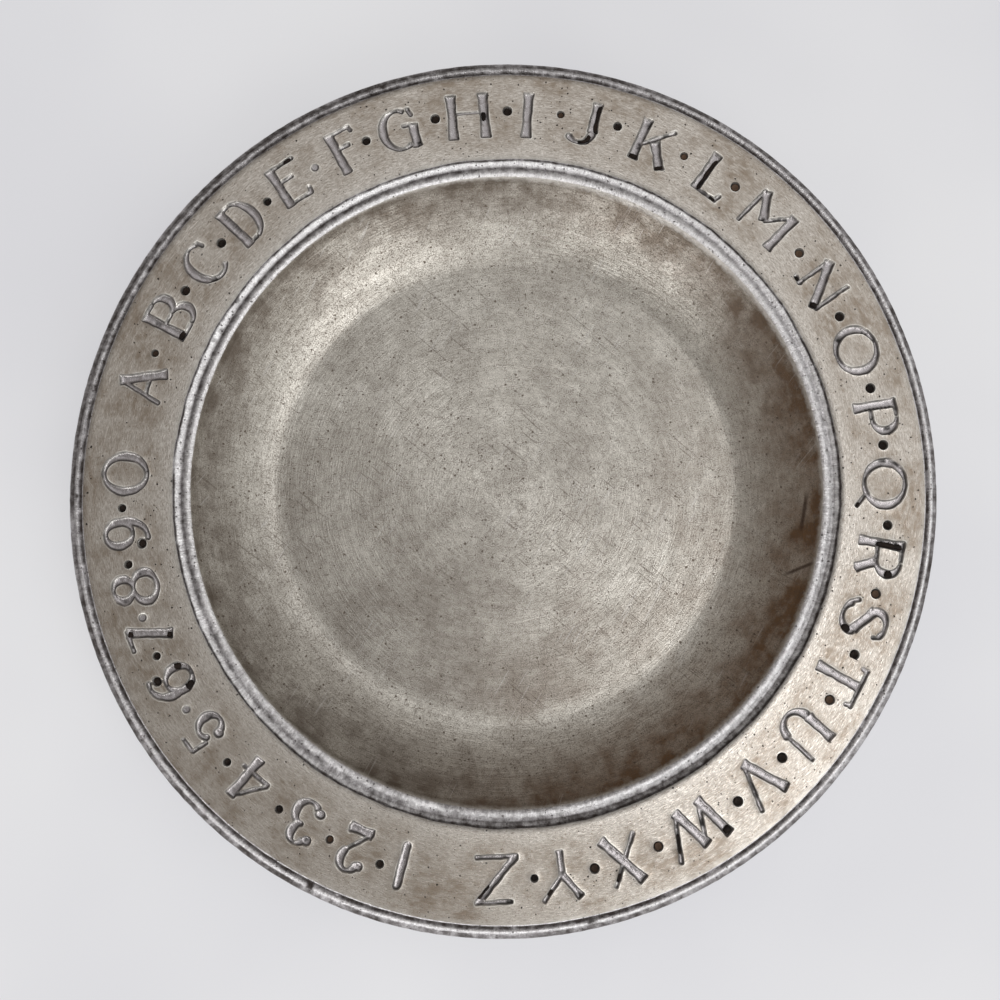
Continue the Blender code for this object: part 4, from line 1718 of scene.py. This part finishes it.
class Scratches(Effect):
    """Fine straight scratches in one direction, here and there."""

    label = "scratches"
    entries = (("turn", 0.0), ("shift", 0.0))
    exits = ("scratches",)
    stretch = (110.0, 2300.0, 110.0)
    line_range = (0.70, 0.77)
    patch_scale = 70.0
    patch_range = (0.48, 0.62)

    def draw(self, wiring: Wiring, given: dict[str, Socket]) -> list[Socket]:
        """Draw thin lines and hide most of them."""
        turned = wiring.turned(wiring.place(), given["turn"])
        long = wiring.vector("MULTIPLY", turned, self.stretch)
        shift = wiring.node("ShaderNodeCombineXYZ", {0: given["shift"], 2: given["shift"]}).outputs[0]
        moved = wiring.vector("ADD", long, shift)
        lines = wiring.ramp(wiring.noise(moved, 1.0, 0.0), *self.line_range)
        patches = wiring.noise(wiring.place(), self.patch_scale, 1.0)
        return [wiring.times(lines, wiring.ramp(patches, *self.patch_range))]


class LongScratch(Effect):
    """One long dark scratch."""

    label = "long_scratch"
    entries = (("across", 0.0), ("up", 0.0), ("turn", 0.0), ("length", 0.01))
    exits = ("scratch",)
    edge_range = (0.0001, 0.0006)
    end_range = (0.2, 0.5)

    def draw(self, wiring: Wiring, given: dict[str, Socket]) -> list[Socket]:
        """Draw a thin line that fades towards its ends."""
        middle = wiring.node("ShaderNodeCombineXYZ", {0: given["across"], 1: given["up"]}).outputs[0]
        moved = wiring.vector("SUBTRACT", wiring.place(), middle)
        turned = wiring.turned(moved, wiring.times(given["turn"], -1.0))
        parts = wiring.node("ShaderNodeSeparateXYZ", {0: turned})
        along = wiring.math("DIVIDE", wiring.math("ABSOLUTE", parts.outputs[0]), given["length"])
        line = wiring.ramp(wiring.math("ABSOLUTE", parts.outputs[1]), *self.edge_range, 1.0, 0.0)
        return [wiring.times(line, wiring.ramp(along, *self.end_range, 1.0, 0.0))]


class Patina(Effect):
    """Brown tarnish in large soft patches."""

    label = "patina"
    entries = (("size", 0.02), ("shift", 0.0))
    exits = ("patina",)
    patch_range = (0.36, 0.66)

    def draw(self, wiring: Wiring, given: dict[str, Socket]) -> list[Socket]:
        """Draw the patches."""
        shift = wiring.node("ShaderNodeCombineXYZ", {0: given["shift"], 1: given["shift"]}).outputs[0]
        place = wiring.vector("ADD", wiring.place(), shift)
        large = wiring.noise(place, wiring.math("DIVIDE", 1.0, given["size"]), 5.0, 0.62)
        return [wiring.ramp(large, *self.patch_range)]


@dataclass(frozen=True)
class Finish:
    """A material made of layers of colour, roughness and relief."""

    name: str

    def draw(self, wiring: Wiring, shader: Node) -> None:
        """Wire the finish up to its shader."""
        raise NotImplementedError

    def material(self) -> bpy.types.Material:
        """Make the material."""
        made = bpy.data.materials.new(self.name)
        made.use_nodes = True
        self.draw(Wiring(made.node_tree), made.node_tree.nodes["Principled BSDF"])
        return made

    @staticmethod
    def relief(wiring: Wiring, shader: Node, height: object, depth: float, strength: float) -> None:
        """Add fine relief to the shader."""
        feeds = {"Height": height, "Distance": depth, "Strength": strength}
        wiring.fit(shader, {"Normal": wiring.node("ShaderNodeBump", feeds).outputs[0]})


@dataclass(frozen=True)
class BrushedRim(Finish):
    """Brushed, tarnished field with bright sunken strokes, dirt and painted shade along their edges, and
    painted highlights on their walls that face the light.
    """

    name: str = "brushed_rim"
    light: Colour = seen(221, 215, 207)
    streak: Colour = seen(150, 141, 132)
    tarnish: Colour = seen(134, 119, 103)
    silver: Colour = seen(178, 173, 174)
    shade: Colour = seen(134, 128, 128)
    bright_metal: Colour = seen(248, 245, 238)
    darkening: Colour = seen(26, 20, 17)
    pale_edge: float = 0.0835
    brown_edge: float = 0.0890

    def draw(self, wiring: Wiring, shader: Node) -> None:
        """Wire the finish up to its shader."""
        streaks, bands = BrushMarks().use(wiring, turns=80.0, rings=4600.0)
        (patina,) = Patina().use(wiring, size=0.012)
        (specks,) = DarkSpecks().use(wiring, size=0.0007, amount=0.08)
        grain, mottle, pits = CastingGrain().use(wiring, size=0.00034)
        (scratches,) = Scratches().use(wiring, turn=0.9)
        groove, grime = wiring.mark("groove"), wiring.mark("grime")
        outward = wiring.ramp(wiring.radius(), self.pale_edge, self.brown_edge)
        colour = wiring.layer(self.light, streaks, 0.8, self.streak)
        brown = wiring.times(patina, wiring.scaled(bands, 0.45, 0.25))
        brown = wiring.times(wiring.math("ADD", brown, 0.12), outward)
        colour = wiring.mix(brown, colour, self.tarnish)
        dark = wiring.times(wiring.scaled(mottle, 0.75, 0.20), wiring.times(pits, 0.95))
        colour = wiring.mix(dark, colour, self.tarnish)
        colour = wiring.layer(colour, scratches, 0.14, self.bright_metal)
        colour = wiring.layer(colour, specks, 0.95, self.darkening)
        bright = wiring.layer(self.silver, grain, 0.3, self.shade)
        colour = wiring.mix(groove, colour, bright)
        # Brightness from rubbing along the edges, with painted highlight on walls turned to the light.
        colour = wiring.layer(colour, wiring.mark("burr"), 0.85, self.bright_metal)
        # Dirt and painted shade along the strokes, in the crease and on the side turned from the light.
        colour = wiring.mix(grime, colour, self.darkening)
        rough = wiring.scaled(groove, -0.14, wiring.scaled(streaks, 0.12, 0.25))
        rough = wiring.scaled(grime, 0.35, rough)
        metal = wiring.scaled(grime, -0.75, 0.95)
        wiring.fit(shader, {"Base Color": colour, "Roughness": rough, "Metallic": metal})
        height = wiring.scaled(streaks, -0.25, wiring.times(specks, -0.6))
        height = wiring.scaled(wiring.times(groove, grain), 0.4, height)
        self.relief(wiring, shader, height, 0.00012, 0.55)


@dataclass(frozen=True)
class CastSkin(Finish):
    """Grainy skin of the borders and the underside, dark in the corners from dirt and painted shade, with
    brightness from rubbing and painted highlight.
    """

    name: str = "cast_skin"
    silver: Colour = seen(240, 238, 239)
    shade: Colour = seen(120, 112, 116)
    bright_metal: Colour = seen(248, 247, 247)
    darkening: Colour = seen(46, 36, 31)
    field_edge: float = 0.1035

    def draw(self, wiring: Wiring, shader: Node) -> None:
        """Wire the finish up to its shader."""
        grain, mottle, _ = CastingGrain().use(wiring, size=0.00036)
        (specks,) = DarkSpecks().use(wiring, size=0.0008, amount=0.22)
        grime, burr = wiring.mark("grime"), wiring.mark("burr")
        ribs, _ = BrushMarks().use(wiring, turns=190.0, rings=420.0)
        grain = wiring.scaled(ribs, 0.5, wiring.times(grain, 0.5))
        worn = wiring.scaled(mottle, 0.25, wiring.times(grain, 0.75))
        outward = wiring.ramp(wiring.radius(), self.field_edge, self.field_edge + 0.001)
        share = wiring.times(worn, wiring.scaled(outward, 0.15, 0.65))
        colour = wiring.mix(share, self.silver, self.shade)
        colour = wiring.layer(colour, outward, 0.15, self.shade)
        # Brightness from rubbing, with painted highlight on flanks that lean towards the light.
        shine = wiring.times(burr, wiring.scaled(worn, -0.8, 1.0))
        colour = wiring.mix(shine, colour, self.bright_metal)
        colour = wiring.layer(colour, specks, 0.7, self.darkening)
        # Dirt and painted shade in the crease, the groove and on flanks turned from the light.
        darkened = wiring.ramp(wiring.scaled(mottle, 0.22, grime), 0.12, 1.1)
        colour = wiring.mix(darkened, colour, self.darkening)
        rough, metal = wiring.scaled(darkened, 0.35, 0.30), wiring.scaled(darkened, -0.6, 0.95)
        wiring.fit(shader, {"Base Color": colour, "Roughness": rough, "Metallic": metal})
        height = wiring.scaled(specks, -0.6, wiring.times(grain, -1.0))
        self.relief(wiring, shader, height, 0.00016, 1.0)


@dataclass(frozen=True)
class TurnedWell(Finish):
    """Scoured well: concentric scratches, dark specks and brown tarnish on the wall, painted browner and
    more saturated on one side as painted shade, with painted shade on one side of the floor.
    """

    name: str = "turned_well"
    light: Colour = seen(236, 232, 223)
    streak: Colour = seen(182, 177, 168)
    tarnish: Colour = seen(122, 95, 71)
    haze: Colour = seen(112, 103, 94)
    # Sides towards which the wall's tarnish is painted more saturated and the floor painted darker, as
    # painted shade.
    saturated_side: tuple[float, ...] = (0.87, -0.50, 0.0)
    shade_side: tuple[float, ...] = (-0.50, -0.87, 0.0)
    darkening: Colour = seen(96, 85, 75)
    silver: Colour = seen(232, 230, 230)
    # Side towards which the wall is painted browner, as painted shade.
    browner_wall_side: tuple[float, ...] = (1.0, 0.0, 0.0)
    wall_foot: float = 0.060
    wall_top: float = 0.0785
    gouged: Colour = seen(58, 40, 30)
    gouges: tuple[tuple[float, ...], ...] = (
        (0.0754, -0.0063, 1.41, 0.012), (0.0737, -0.0205, 0.49, 0.009)
    )
    bright_metal: Colour = seen(208, 204, 201)
    lip_start: float = 0.0784
    lip_end: float = 0.0793

    def draw(self, wiring: Wiring, shader: Node) -> None:
        """Wire the finish up to its shader."""
        streaks, bands = BrushMarks().use(wiring, turns=9.0, rings=2200.0, shift=4.0)
        (patina,) = Patina().use(wiring, size=0.016, shift=0.4)
        (specks,) = DarkSpecks().use(wiring, size=0.0009, amount=0.09)
        (dust,) = DarkSpecks().use(wiring, size=0.0006, amount=0.14)
        grain, mottle, pits = CastingGrain().use(wiring, size=0.00030)
        (scratches,) = Scratches().use(wiring, turn=0.7, shift=5.0)
        wall = wiring.math("POWER", wiring.ramp(wiring.radius(), self.wall_foot, self.wall_top), 1.5)
        colour = wiring.layer(self.light, streaks, 0.48, self.streak)
        colour = wiring.layer(colour, bands, 0.28, self.streak)
        (stains,) = Patina().use(wiring, size=0.006, shift=0.9)
        # Wall tarnish: real stain patches, painted browner towards one side and more saturated on another,
        # as painted shade.
        side = wiring.along(self.browner_wall_side)
        wall_browning = wiring.ramp(side, -self.wall_top, self.wall_top, 0.50, 0.72)
        side_tint = wiring.ramp(wiring.along(self.saturated_side), 0.0, self.wall_top)
        side_tint = wiring.mix(side_tint, self.haze, self.tarnish)
        wall_browning = wiring.times(wall_browning, wiring.scaled(stains, 0.35, 0.82))
        brown = wiring.scaled(stains, 0.16, wiring.times(patina, 0.24))
        floor = wiring.ramp(wiring.radius(), self.wall_foot, self.wall_foot - 0.004)
        # Painted shade: the floor painted darker on one side.
        painted_shade = wiring.ramp(wiring.along(self.shade_side), -0.012, self.wall_foot, 0.0, 0.30)
        brown = wiring.scaled(floor, painted_shade, brown)
        brown = wiring.scaled(wall, wall_browning, brown)
        colour = wiring.mix(brown, colour, side_tint)
        pepper = wiring.times(grain, wiring.scaled(mottle, 0.45, 0.40))
        colour = wiring.mix(pepper, colour, self.darkening)
        colour = wiring.layer(colour, specks, 0.85, self.darkening)
        colour = wiring.layer(colour, dust, 0.6, self.darkening)
        colour = wiring.layer(colour, scratches, 0.48, self.darkening)
        (bright,) = Scratches().use(wiring, turn=2.1, shift=2.0)
        colour = wiring.layer(colour, bright, 0.18, self.silver)
        for across, up, turn, length in self.gouges:
            (gouge,) = LongScratch().use(wiring, across=across, up=up, turn=turn, length=length)
            colour = wiring.layer(colour, gouge, 0.75, self.gouged)
        edge = wiring.scaled(grain, 0.0001, wiring.radius())
        edge = wiring.scaled(mottle, 0.0003, edge)
        lip = wiring.ramp(edge, self.lip_start, self.lip_end)
        colour = wiring.mix(lip, colour, wiring.layer(self.bright_metal, grain, 0.7, self.streak))
        rough, metal = wiring.scaled(bands, 0.10, 0.34), wiring.scaled(pits, -0.2, 0.95)
        wiring.fit(shader, {"Base Color": colour, "Roughness": rough, "Metallic": metal})
        height = wiring.scaled(streaks, -0.4, wiring.times(specks, -0.5))
        height = wiring.scaled(wiring.times(grain, lip), -0.5, height)
        self.relief(wiring, shader, wiring.scaled(pits, -0.5, height), 0.00012, 0.7)


@dataclass(frozen=True)
class DarkFilling(Finish):
    """Old filling, from black to brown-grey."""

    name: str = "worn_filling"
    black: Colour = seen(18, 12, 10)
    brown: Colour = seen(104, 82, 66)

    def draw(self, wiring: Wiring, shader: Node) -> None:
        """Wire the finish up to its shader."""
        grain, mottle, _ = CastingGrain().use(wiring, size=0.0005)
        tone = wiring.scaled(mottle, 0.10, wiring.mark("tone"))
        colour, rough = wiring.mix(tone, self.black, self.brown), wiring.scaled(grain, 0.25, 0.5)
        wiring.fit(shader, {"Base Color": colour, "Roughness": rough, "Specular IOR Level": 0.15})
        self.relief(wiring, shader, grain, 0.00012, 0.6)


@dataclass(frozen=True)
class Patch:
    """Filling left in one stroke: where along it, on which side and how wide."""

    sign: str
    stroke_name: str
    stroke: int
    start: float
    end: float
    side: float = 0.0
    width: float = 1.0

    @property
    def node(self) -> str:
        """Name of the solid that it stands for."""
        return f"letter_fill_{self.sign}_{self.stroke_name}"


PATCHES = (
    Patch("B", "stem", 0, 0.84, 0.96),
    Patch("E", "top_arm", 1, 0.60, 0.92),
    Patch("H", "right_stem", 1, 0.40, 0.60, 0.3, 0.6),
    Patch("J", "stem", 0, 0.05, 0.95, -0.9, 0.52),
    Patch("J", "hook", 1, 0.06, 0.60, 0.6, 0.7),
    Patch("K", "stem", 0, 0.86, 0.97),
    Patch("K", "leg", 2, 0.82, 0.96),
    Patch("L", "stem", 0, 0.12, 0.94, -0.7, 0.5),
    Patch("L", "foot", 1, 0.66, 0.95),
    Patch("N", "diagonal", 1, 0.86, 0.97),
    Patch("N", "left_foot", 3, 0.10, 0.60),
    Patch("Q", "tail", 1, 0.70, 0.94),
    Patch("R", "stem", 0, 0.04, 0.60, -0.5, 0.72),
    Patch("R", "bowl", 2, 0.34, 0.54),
    Patch("S", "lower_bowl", 2, 0.06, 0.30),
    Patch("W", "first_stroke", 0, 0.03, 0.17),
    Patch("W", "last_stroke", 3, 0.40, 0.80),
    Patch("X", "thin_stroke", 1, 0.74, 0.90),
    Patch("Y", "thin_arm", 1, 0.56, 0.78),
    Patch("Z", "diagonal", 1, 0.04, 0.34, -0.9, 0.55),
    Patch("6", "top_end", 2, 0.12, 0.88),
    Patch("6", "left_side", 0, 0.52, 0.64),
    Patch("6", "right_side", 0, 0.90, 0.99),
    Patch("7", "corner", 1, 0.03, 0.14, 0.6, 0.6),
    Patch("7", "foot", 1, 0.86, 0.97, 0.6, 0.6),
    Patch("9", "tail_end", 2, 0.12, 0.88),
)
BROWN_DOTS = {
    "A": 0.2, "I": 0.4, "K": 0.6, "L": 0.6, "M": 0.6, "R": 0.5, "T": 0.5, "W": 0.5, "X": 0.15, "2": 0.4
}


@dataclass
class Fillings:
    """The remains of dark filling, each its own closed lump. Sizes in millimetres."""

    sizes: PlateSizes
    signs: list[Sign]
    carving: Carving
    dot_room: float = 0.18
    dot_slip: tuple[float, float] = (0.05, -0.06)
    dot_sides: int = 28
    dot_profile: tuple[tuple[float, float], ...] = (
        (0.35, 1.08), (0.78, 1.02), (1.0, 0.80), (1.0, 0.46), (0.92, 0.40), (0.62, 0.52), (0.30, 0.60)
    )
    dot_hollow: float = 0.62
    smooth_below: float = 0.7
    stroke_step: float = 0.28
    stroke_rows: int = 9
    clear: float = 0.03
    edge_room: float = 0.10
    dot_uneven: float = 0.06
    dot_waves: float = 3.0
    dot_rough: float = 0.05
    long_taper: int = 8
    disc_taper: int = 2
    least_taper: float = 0.14
    wobble: float = 0.16
    wobble_waves: float = 6.0
    least_steps: int = 5
    crown: int = 4
    seat: float = 0.88
    least_depth: float = 0.12
    least_body: float = 0.05
    fullness: float = 0.62
    lumpy: float = 0.2
    edge_height: float = 0.01
    below_rim: float = 0.05
    least_height: float = 0.004

    def lump(self, name: str, node: str, points: Array, faces: Faces, tone: float = 0.0) -> None:
        """Make one piece of filling.

        Args:
            name: name of the object.
            node: the solid that it stands for.
            points: rows of x, y, z in millimetres on the plate.
            faces: corner numbers.
            tone: how brown it is, 0 to 1.
        """
        item = shaped(name, self.sizes.hand_finished(points), faces, {"tone": np.full(len(points), tone)})
        item.data.materials.append(bpy.data.materials[DarkFilling.name])
        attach(item, BODY)
        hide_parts(node)
        LOG.info("%s: %d faces", name, len(faces))

    def dot(self, sign: Sign, following: str) -> None:
        """Fill the dot that follows a sign.

        Args:
            sign: the letter or numeral before it.
            following: name of the one after it.
        """
        top = self.sizes.rim_top
        turn = np.arange(self.dot_sides) * math.tau / self.dot_sides
        circle = np.stack((np.cos(turn), np.sin(turn)), axis=1)
        seed = sum(map(ord, sign.name + following))
        points, faces = [], []
        for share, drop in self.dot_profile:
            edge = 1 - self.dot_uneven * (1 + Noise(1.0, seed).at(circle * self.dot_waves))
            flat = circle * (share * (sign.place.dot.width / 2 - self.dot_room) * edge)[:, None]
            level = np.full(self.dot_sides, top - drop)
            if drop < self.smooth_below:
                level += Noise(0.5, seed + 1, self.dot_rough).at(flat + sign.dot)
            points.append(np.column_stack((sign.to_plate(flat + sign.dot) + self.dot_slip, level)))
        low = np.append(sign.to_plate(sign.dot[None])[0] + self.dot_slip, top - self.dot_profile[0][1])
        high = np.append(low[:2], top - self.dot_hollow)
        n = self.dot_sides
        for row in range(len(points) - 1):
            for i in range(n):
                j = (i + 1) % n
                faces.append((row * n + i, row * n + j, (row + 1) * n + j, (row + 1) * n + i))
        base = len(points) * n
        for i in range(n):
            j = (i + 1) % n
            faces.append((base, j, i))
            faces.append((base + 1, base - n + i, base - n + j))
        node = f"dot_fill_{sign.name}_{following}"
        every = np.vstack((*points, low[None], high[None]))
        tone = BROWN_DOTS.get(sign.name, 0.0)
        self.lump(f"dot_filling_{sign.name}_{following}", node, every, faces, tone)

    def patch(self, sign: Sign, patch: Patch) -> None:
        """Fill part of a stroke.

        Args:
            sign: the letter or numeral.
            patch: where and how the filling lies.
        """
        stroke = sign.strokes[patch.stroke]
        seed = sum(map(ord, patch.node))
        steps = max(self.least_steps, round(stroke.length * (patch.end - patch.start) / self.stroke_step))
        across = np.linspace(-1, 1, self.stroke_rows)
        places, rise = [], []
        for k in range(steps + 1):
            part = k / steps
            station, ahead = stroke.at(patch.start + (patch.end - patch.start) * part)
            room = station[2] / 2 - self.edge_room
            power = self.long_taper
            if stroke.length < station[2]:
                power = self.disc_taper
                ahead = np.array((1.0, 0.0))
                middle = stroke.stations[:, :2].mean(axis=0)
                station = np.append(middle + ahead * (2 * part - 1) * room, station[2])
            taper = math.sqrt(max(0.0, 1 - (2 * part - 1) ** power))
            taper = taper * (1 - self.least_taper) + self.least_taper
            waves = np.array(((part * self.wobble_waves, float(seed)),))
            wobble = 1 - self.wobble * (1 + Noise(1.0, seed).at(waves)[0])
            sideways = np.array((-ahead[1], ahead[0]))
            half = room * patch.width * taper * wobble
            middle = -patch.side * (room - half)
            places.append(station[:2] + np.outer(middle + across * half, sideways))
            rise.append((1 - across**self.crown) * taper)
        flat = np.vstack(places)
        _, depth = self.carving.depths(sign, flat)
        on_plate = sign.to_plate(flat)
        bottom = self.sizes.rim_top - np.maximum(depth * self.seat - self.clear, self.least_depth)
        body = np.concatenate(rise) * (self.fullness + Noise(0.8, seed, self.lumpy).at(flat))
        body *= np.maximum(depth - self.least_depth, self.least_body)
        top = np.minimum(bottom + body + self.edge_height, self.sizes.rim_top - self.below_rim)
        self.sheet(patch, on_plate, bottom, np.maximum(top, bottom + self.least_height), steps)

    def sheet(
        self, patch: Patch, flat: Array, bottom: Array, top: Array, steps: int
    ) -> None:
        """Close a lower and an upper sheet into one lump.

        Args:
            patch: where and how the filling lies.
            flat: rows of x and y on the plate.
            bottom: height of the lower sheet.
            top: height of the upper sheet.
            steps: number of steps along the stroke.
        """
        m = self.stroke_rows
        count = len(flat)
        points = np.vstack((np.column_stack((flat, bottom)), np.column_stack((flat, top))))
        faces = []
        for k in range(steps):
            for i in range(m - 1):
                a, b, c, d = k * m + i, k * m + i + 1, (k + 1) * m + i + 1, (k + 1) * m + i
                faces.append((a, b, c, d))
                faces.append((count + d, count + c, count + b, count + a))
        rim = [*range(m), *((k + 1) * m + m - 1 for k in range(steps))]
        rim += [*(steps * m + i for i in range(m - 2, -1, -1)), *(k * m for k in range(steps - 1, 0, -1))]
        for i, j in zip(rim, rim[1:] + rim[:1]):
            faces.append((j, i, count + i, count + j))
        self.lump(patch.node.replace("letter_fill", "letter_filling"), patch.node, points, faces)

    def build(self) -> None:
        """Make every piece of filling."""
        by_name = {sign.name: sign for sign in self.signs}
        for sign, following in zip(self.signs, [*self.signs[1:], self.signs[0]]):
            if sign.dot is not None and sign.name not in BARE_DOTS_AFTER:
                self.dot(sign, following.name)
        for patch in PATCHES:
            self.patch(by_name[patch.sign], patch)


@dataclass(frozen=True)
class PaleFloor(Finish):
    """Even pale floor that stays light beside the plate."""

    name: str = "pale_floor"
    white: Colour = seen(232, 232, 234)
    cool: Colour = seen(222, 222, 226)
    share: float = 0.65

    def draw(self, wiring: Wiring, shader: Node) -> None:
        """Wire the finish up to its shader."""
        cloud = wiring.ramp(wiring.noise(wiring.place(), 6.0, 3.0), 0.3, 0.7)
        colour = wiring.mix(cloud, self.white, self.cool)
        wiring.fit(shader, {"Base Color": colour, "Roughness": 0.9, "Specular IOR Level": 0.1})
        light = wiring.node("ShaderNodeEmission", {"Color": colour, "Strength": 1.0})
        ray = wiring.node("ShaderNodeLightPath").outputs
        mirrored = wiring.math("MAXIMUM", ray["Is Glossy Ray"], ray["Is Transmission Ray"])
        share = wiring.times(wiring.math("MAXIMUM", ray["Is Camera Ray"], mirrored), self.share)
        both = wiring.node("ShaderNodeMixShader", {0: share, 1: shader.outputs[0], 2: light.outputs[0]})
        wiring.feed(wiring.tree.nodes["Material Output"].inputs["Surface"], both.outputs[0])


@dataclass(frozen=True)
class Lamp:
    """A soft square lamp: where it hangs, how large it is and how strong."""

    name: str
    turn: float
    rise: float
    distance: float
    size: float
    watts: float

    def hang(self) -> None:
        """Hang the lamp, facing the plate."""
        data = bpy.data.lights.new(self.name, "AREA")
        data.size = self.size
        data.energy = self.watts
        item = linked(self.name, data)
        level, up = aim(self.rise)
        toward = Vector((*(aim(self.turn) * level), up))
        item.location = toward * self.distance
        item.rotation_euler = toward.to_track_quat("Z", "Y").to_euler()


LAMPS = (
    Lamp("window", -27.0, 66.0, 1.0, 0.36, 0.9),
    Lamp("low_window", -52.0, 36.0, 1.0, 0.6, 2.2),
    Lamp("far_window", -118.0, 18.0, 1.0, 0.5, 2.6),
)


@dataclass
class Studio:
    """Pale floor, soft daylight and the camera at the photograph's viewing angle."""

    sizes: PlateSizes
    floor_half: float = 2.5
    camera_across: float = -10.7
    camera_up: float = -20.7
    camera_above_rim: float = 246.6
    sensor: float = 36.0
    lens: float = 36.0
    near_clip: float = 0.01
    tilt_across: float = 4.0
    tilt_up: float = -1.95
    high_bright: Colour = (1.0, 1.0, 1.0, 1.0)
    high_dark: Colour = (0.31, 0.30, 0.29, 1.0)
    high_turn: float = 40.0
    low_bright: Colour = (0.80, 0.80, 0.79, 1.0)
    low_dark: Colour = (0.33, 0.30, 0.275, 1.0)
    low_turn: float = -48.0
    glow_spread: float = 0.55
    sky_low: float = 0.45
    sky_high: float = 0.90

    def floor(self) -> None:
        """Lay the pale floor."""
        h = self.floor_half
        mesh = bpy.data.meshes.new("floor")
        mesh.from_pydata([(-h, -h, 0), (h, -h, 0), (h, h, 0), (-h, h, 0)], [], [(0, 1, 2, 3)])
        item = linked("floor", mesh)
        mesh.materials.append(PaleFloor().material())

    def camera(self) -> None:
        """Set the camera where the photograph was taken from."""
        data = bpy.data.cameras.new("camera")
        data.sensor_width = self.sensor
        data.lens = self.lens
        data.clip_start = self.near_clip
        item = linked("camera", data)
        height = self.camera_above_rim + self.sizes.rim_top
        place = Vector((self.camera_across, self.camera_up, height)) * MM
        across = Matrix.Rotation(math.radians(self.tilt_across), 4, "X")
        up = Matrix.Rotation(math.radians(self.tilt_up), 4, "Y")
        item.matrix_world = Matrix.Translation(place) @ (across @ up)
        bpy.context.scene.camera = item

    def glow(self, wiring: Wiring, way: Socket, turn: float, dark: Colour, bright: Colour) -> Socket:
        """Light in the direction looked at, which grows from dark to bright towards an angle in degrees."""
        side = wiring.along((*aim(turn), 0.0), way)
        return wiring.mix(wiring.ramp(side, -self.glow_spread, self.glow_spread), dark, bright)

    def world(self) -> None:
        """Daylight from all round, brighter on the windows' side."""
        world = bpy.data.worlds.new("daylight")
        world.use_nodes = True
        wiring = Wiring(world.node_tree)
        way = wiring.node("ShaderNodeTexCoord").outputs["Generated"]
        high = self.glow(wiring, way, self.high_turn, self.high_dark, self.high_bright)
        low = self.glow(wiring, way, self.low_turn, self.low_dark, self.low_bright)
        up = wiring.node("ShaderNodeSeparateXYZ", {0: way}).outputs[2]
        sky = wiring.mix(wiring.ramp(up, self.sky_low, self.sky_high), low, high)
        wiring.feed(world.node_tree.nodes["Background"].inputs["Color"], sky)
        bpy.context.scene.world = world

    def build(self) -> None:
        """Set up floor, light and camera."""
        self.floor()
        self.world()
        for lamp in LAMPS:
            lamp.hang()
        self.camera()
        bpy.context.scene.view_settings.view_transform = "Standard"


def main() -> None:
    """Build and dress the plate."""
    logging.basicConfig(level=logging.INFO, format="%(name)s: %(message)s")
    sizes = PlateSizes.from_frame()
    casting = PlateCasting(sizes)
    plate = casting.build()
    for finish in (BrushedRim(), CastSkin(), TurnedWell()):
        plate.data.materials.append(finish.material())
    DarkFilling().material()
    Fillings(sizes, casting.signs(), casting.carving).build()
    Studio(sizes).build()


if __name__ == "__main__":
    main()
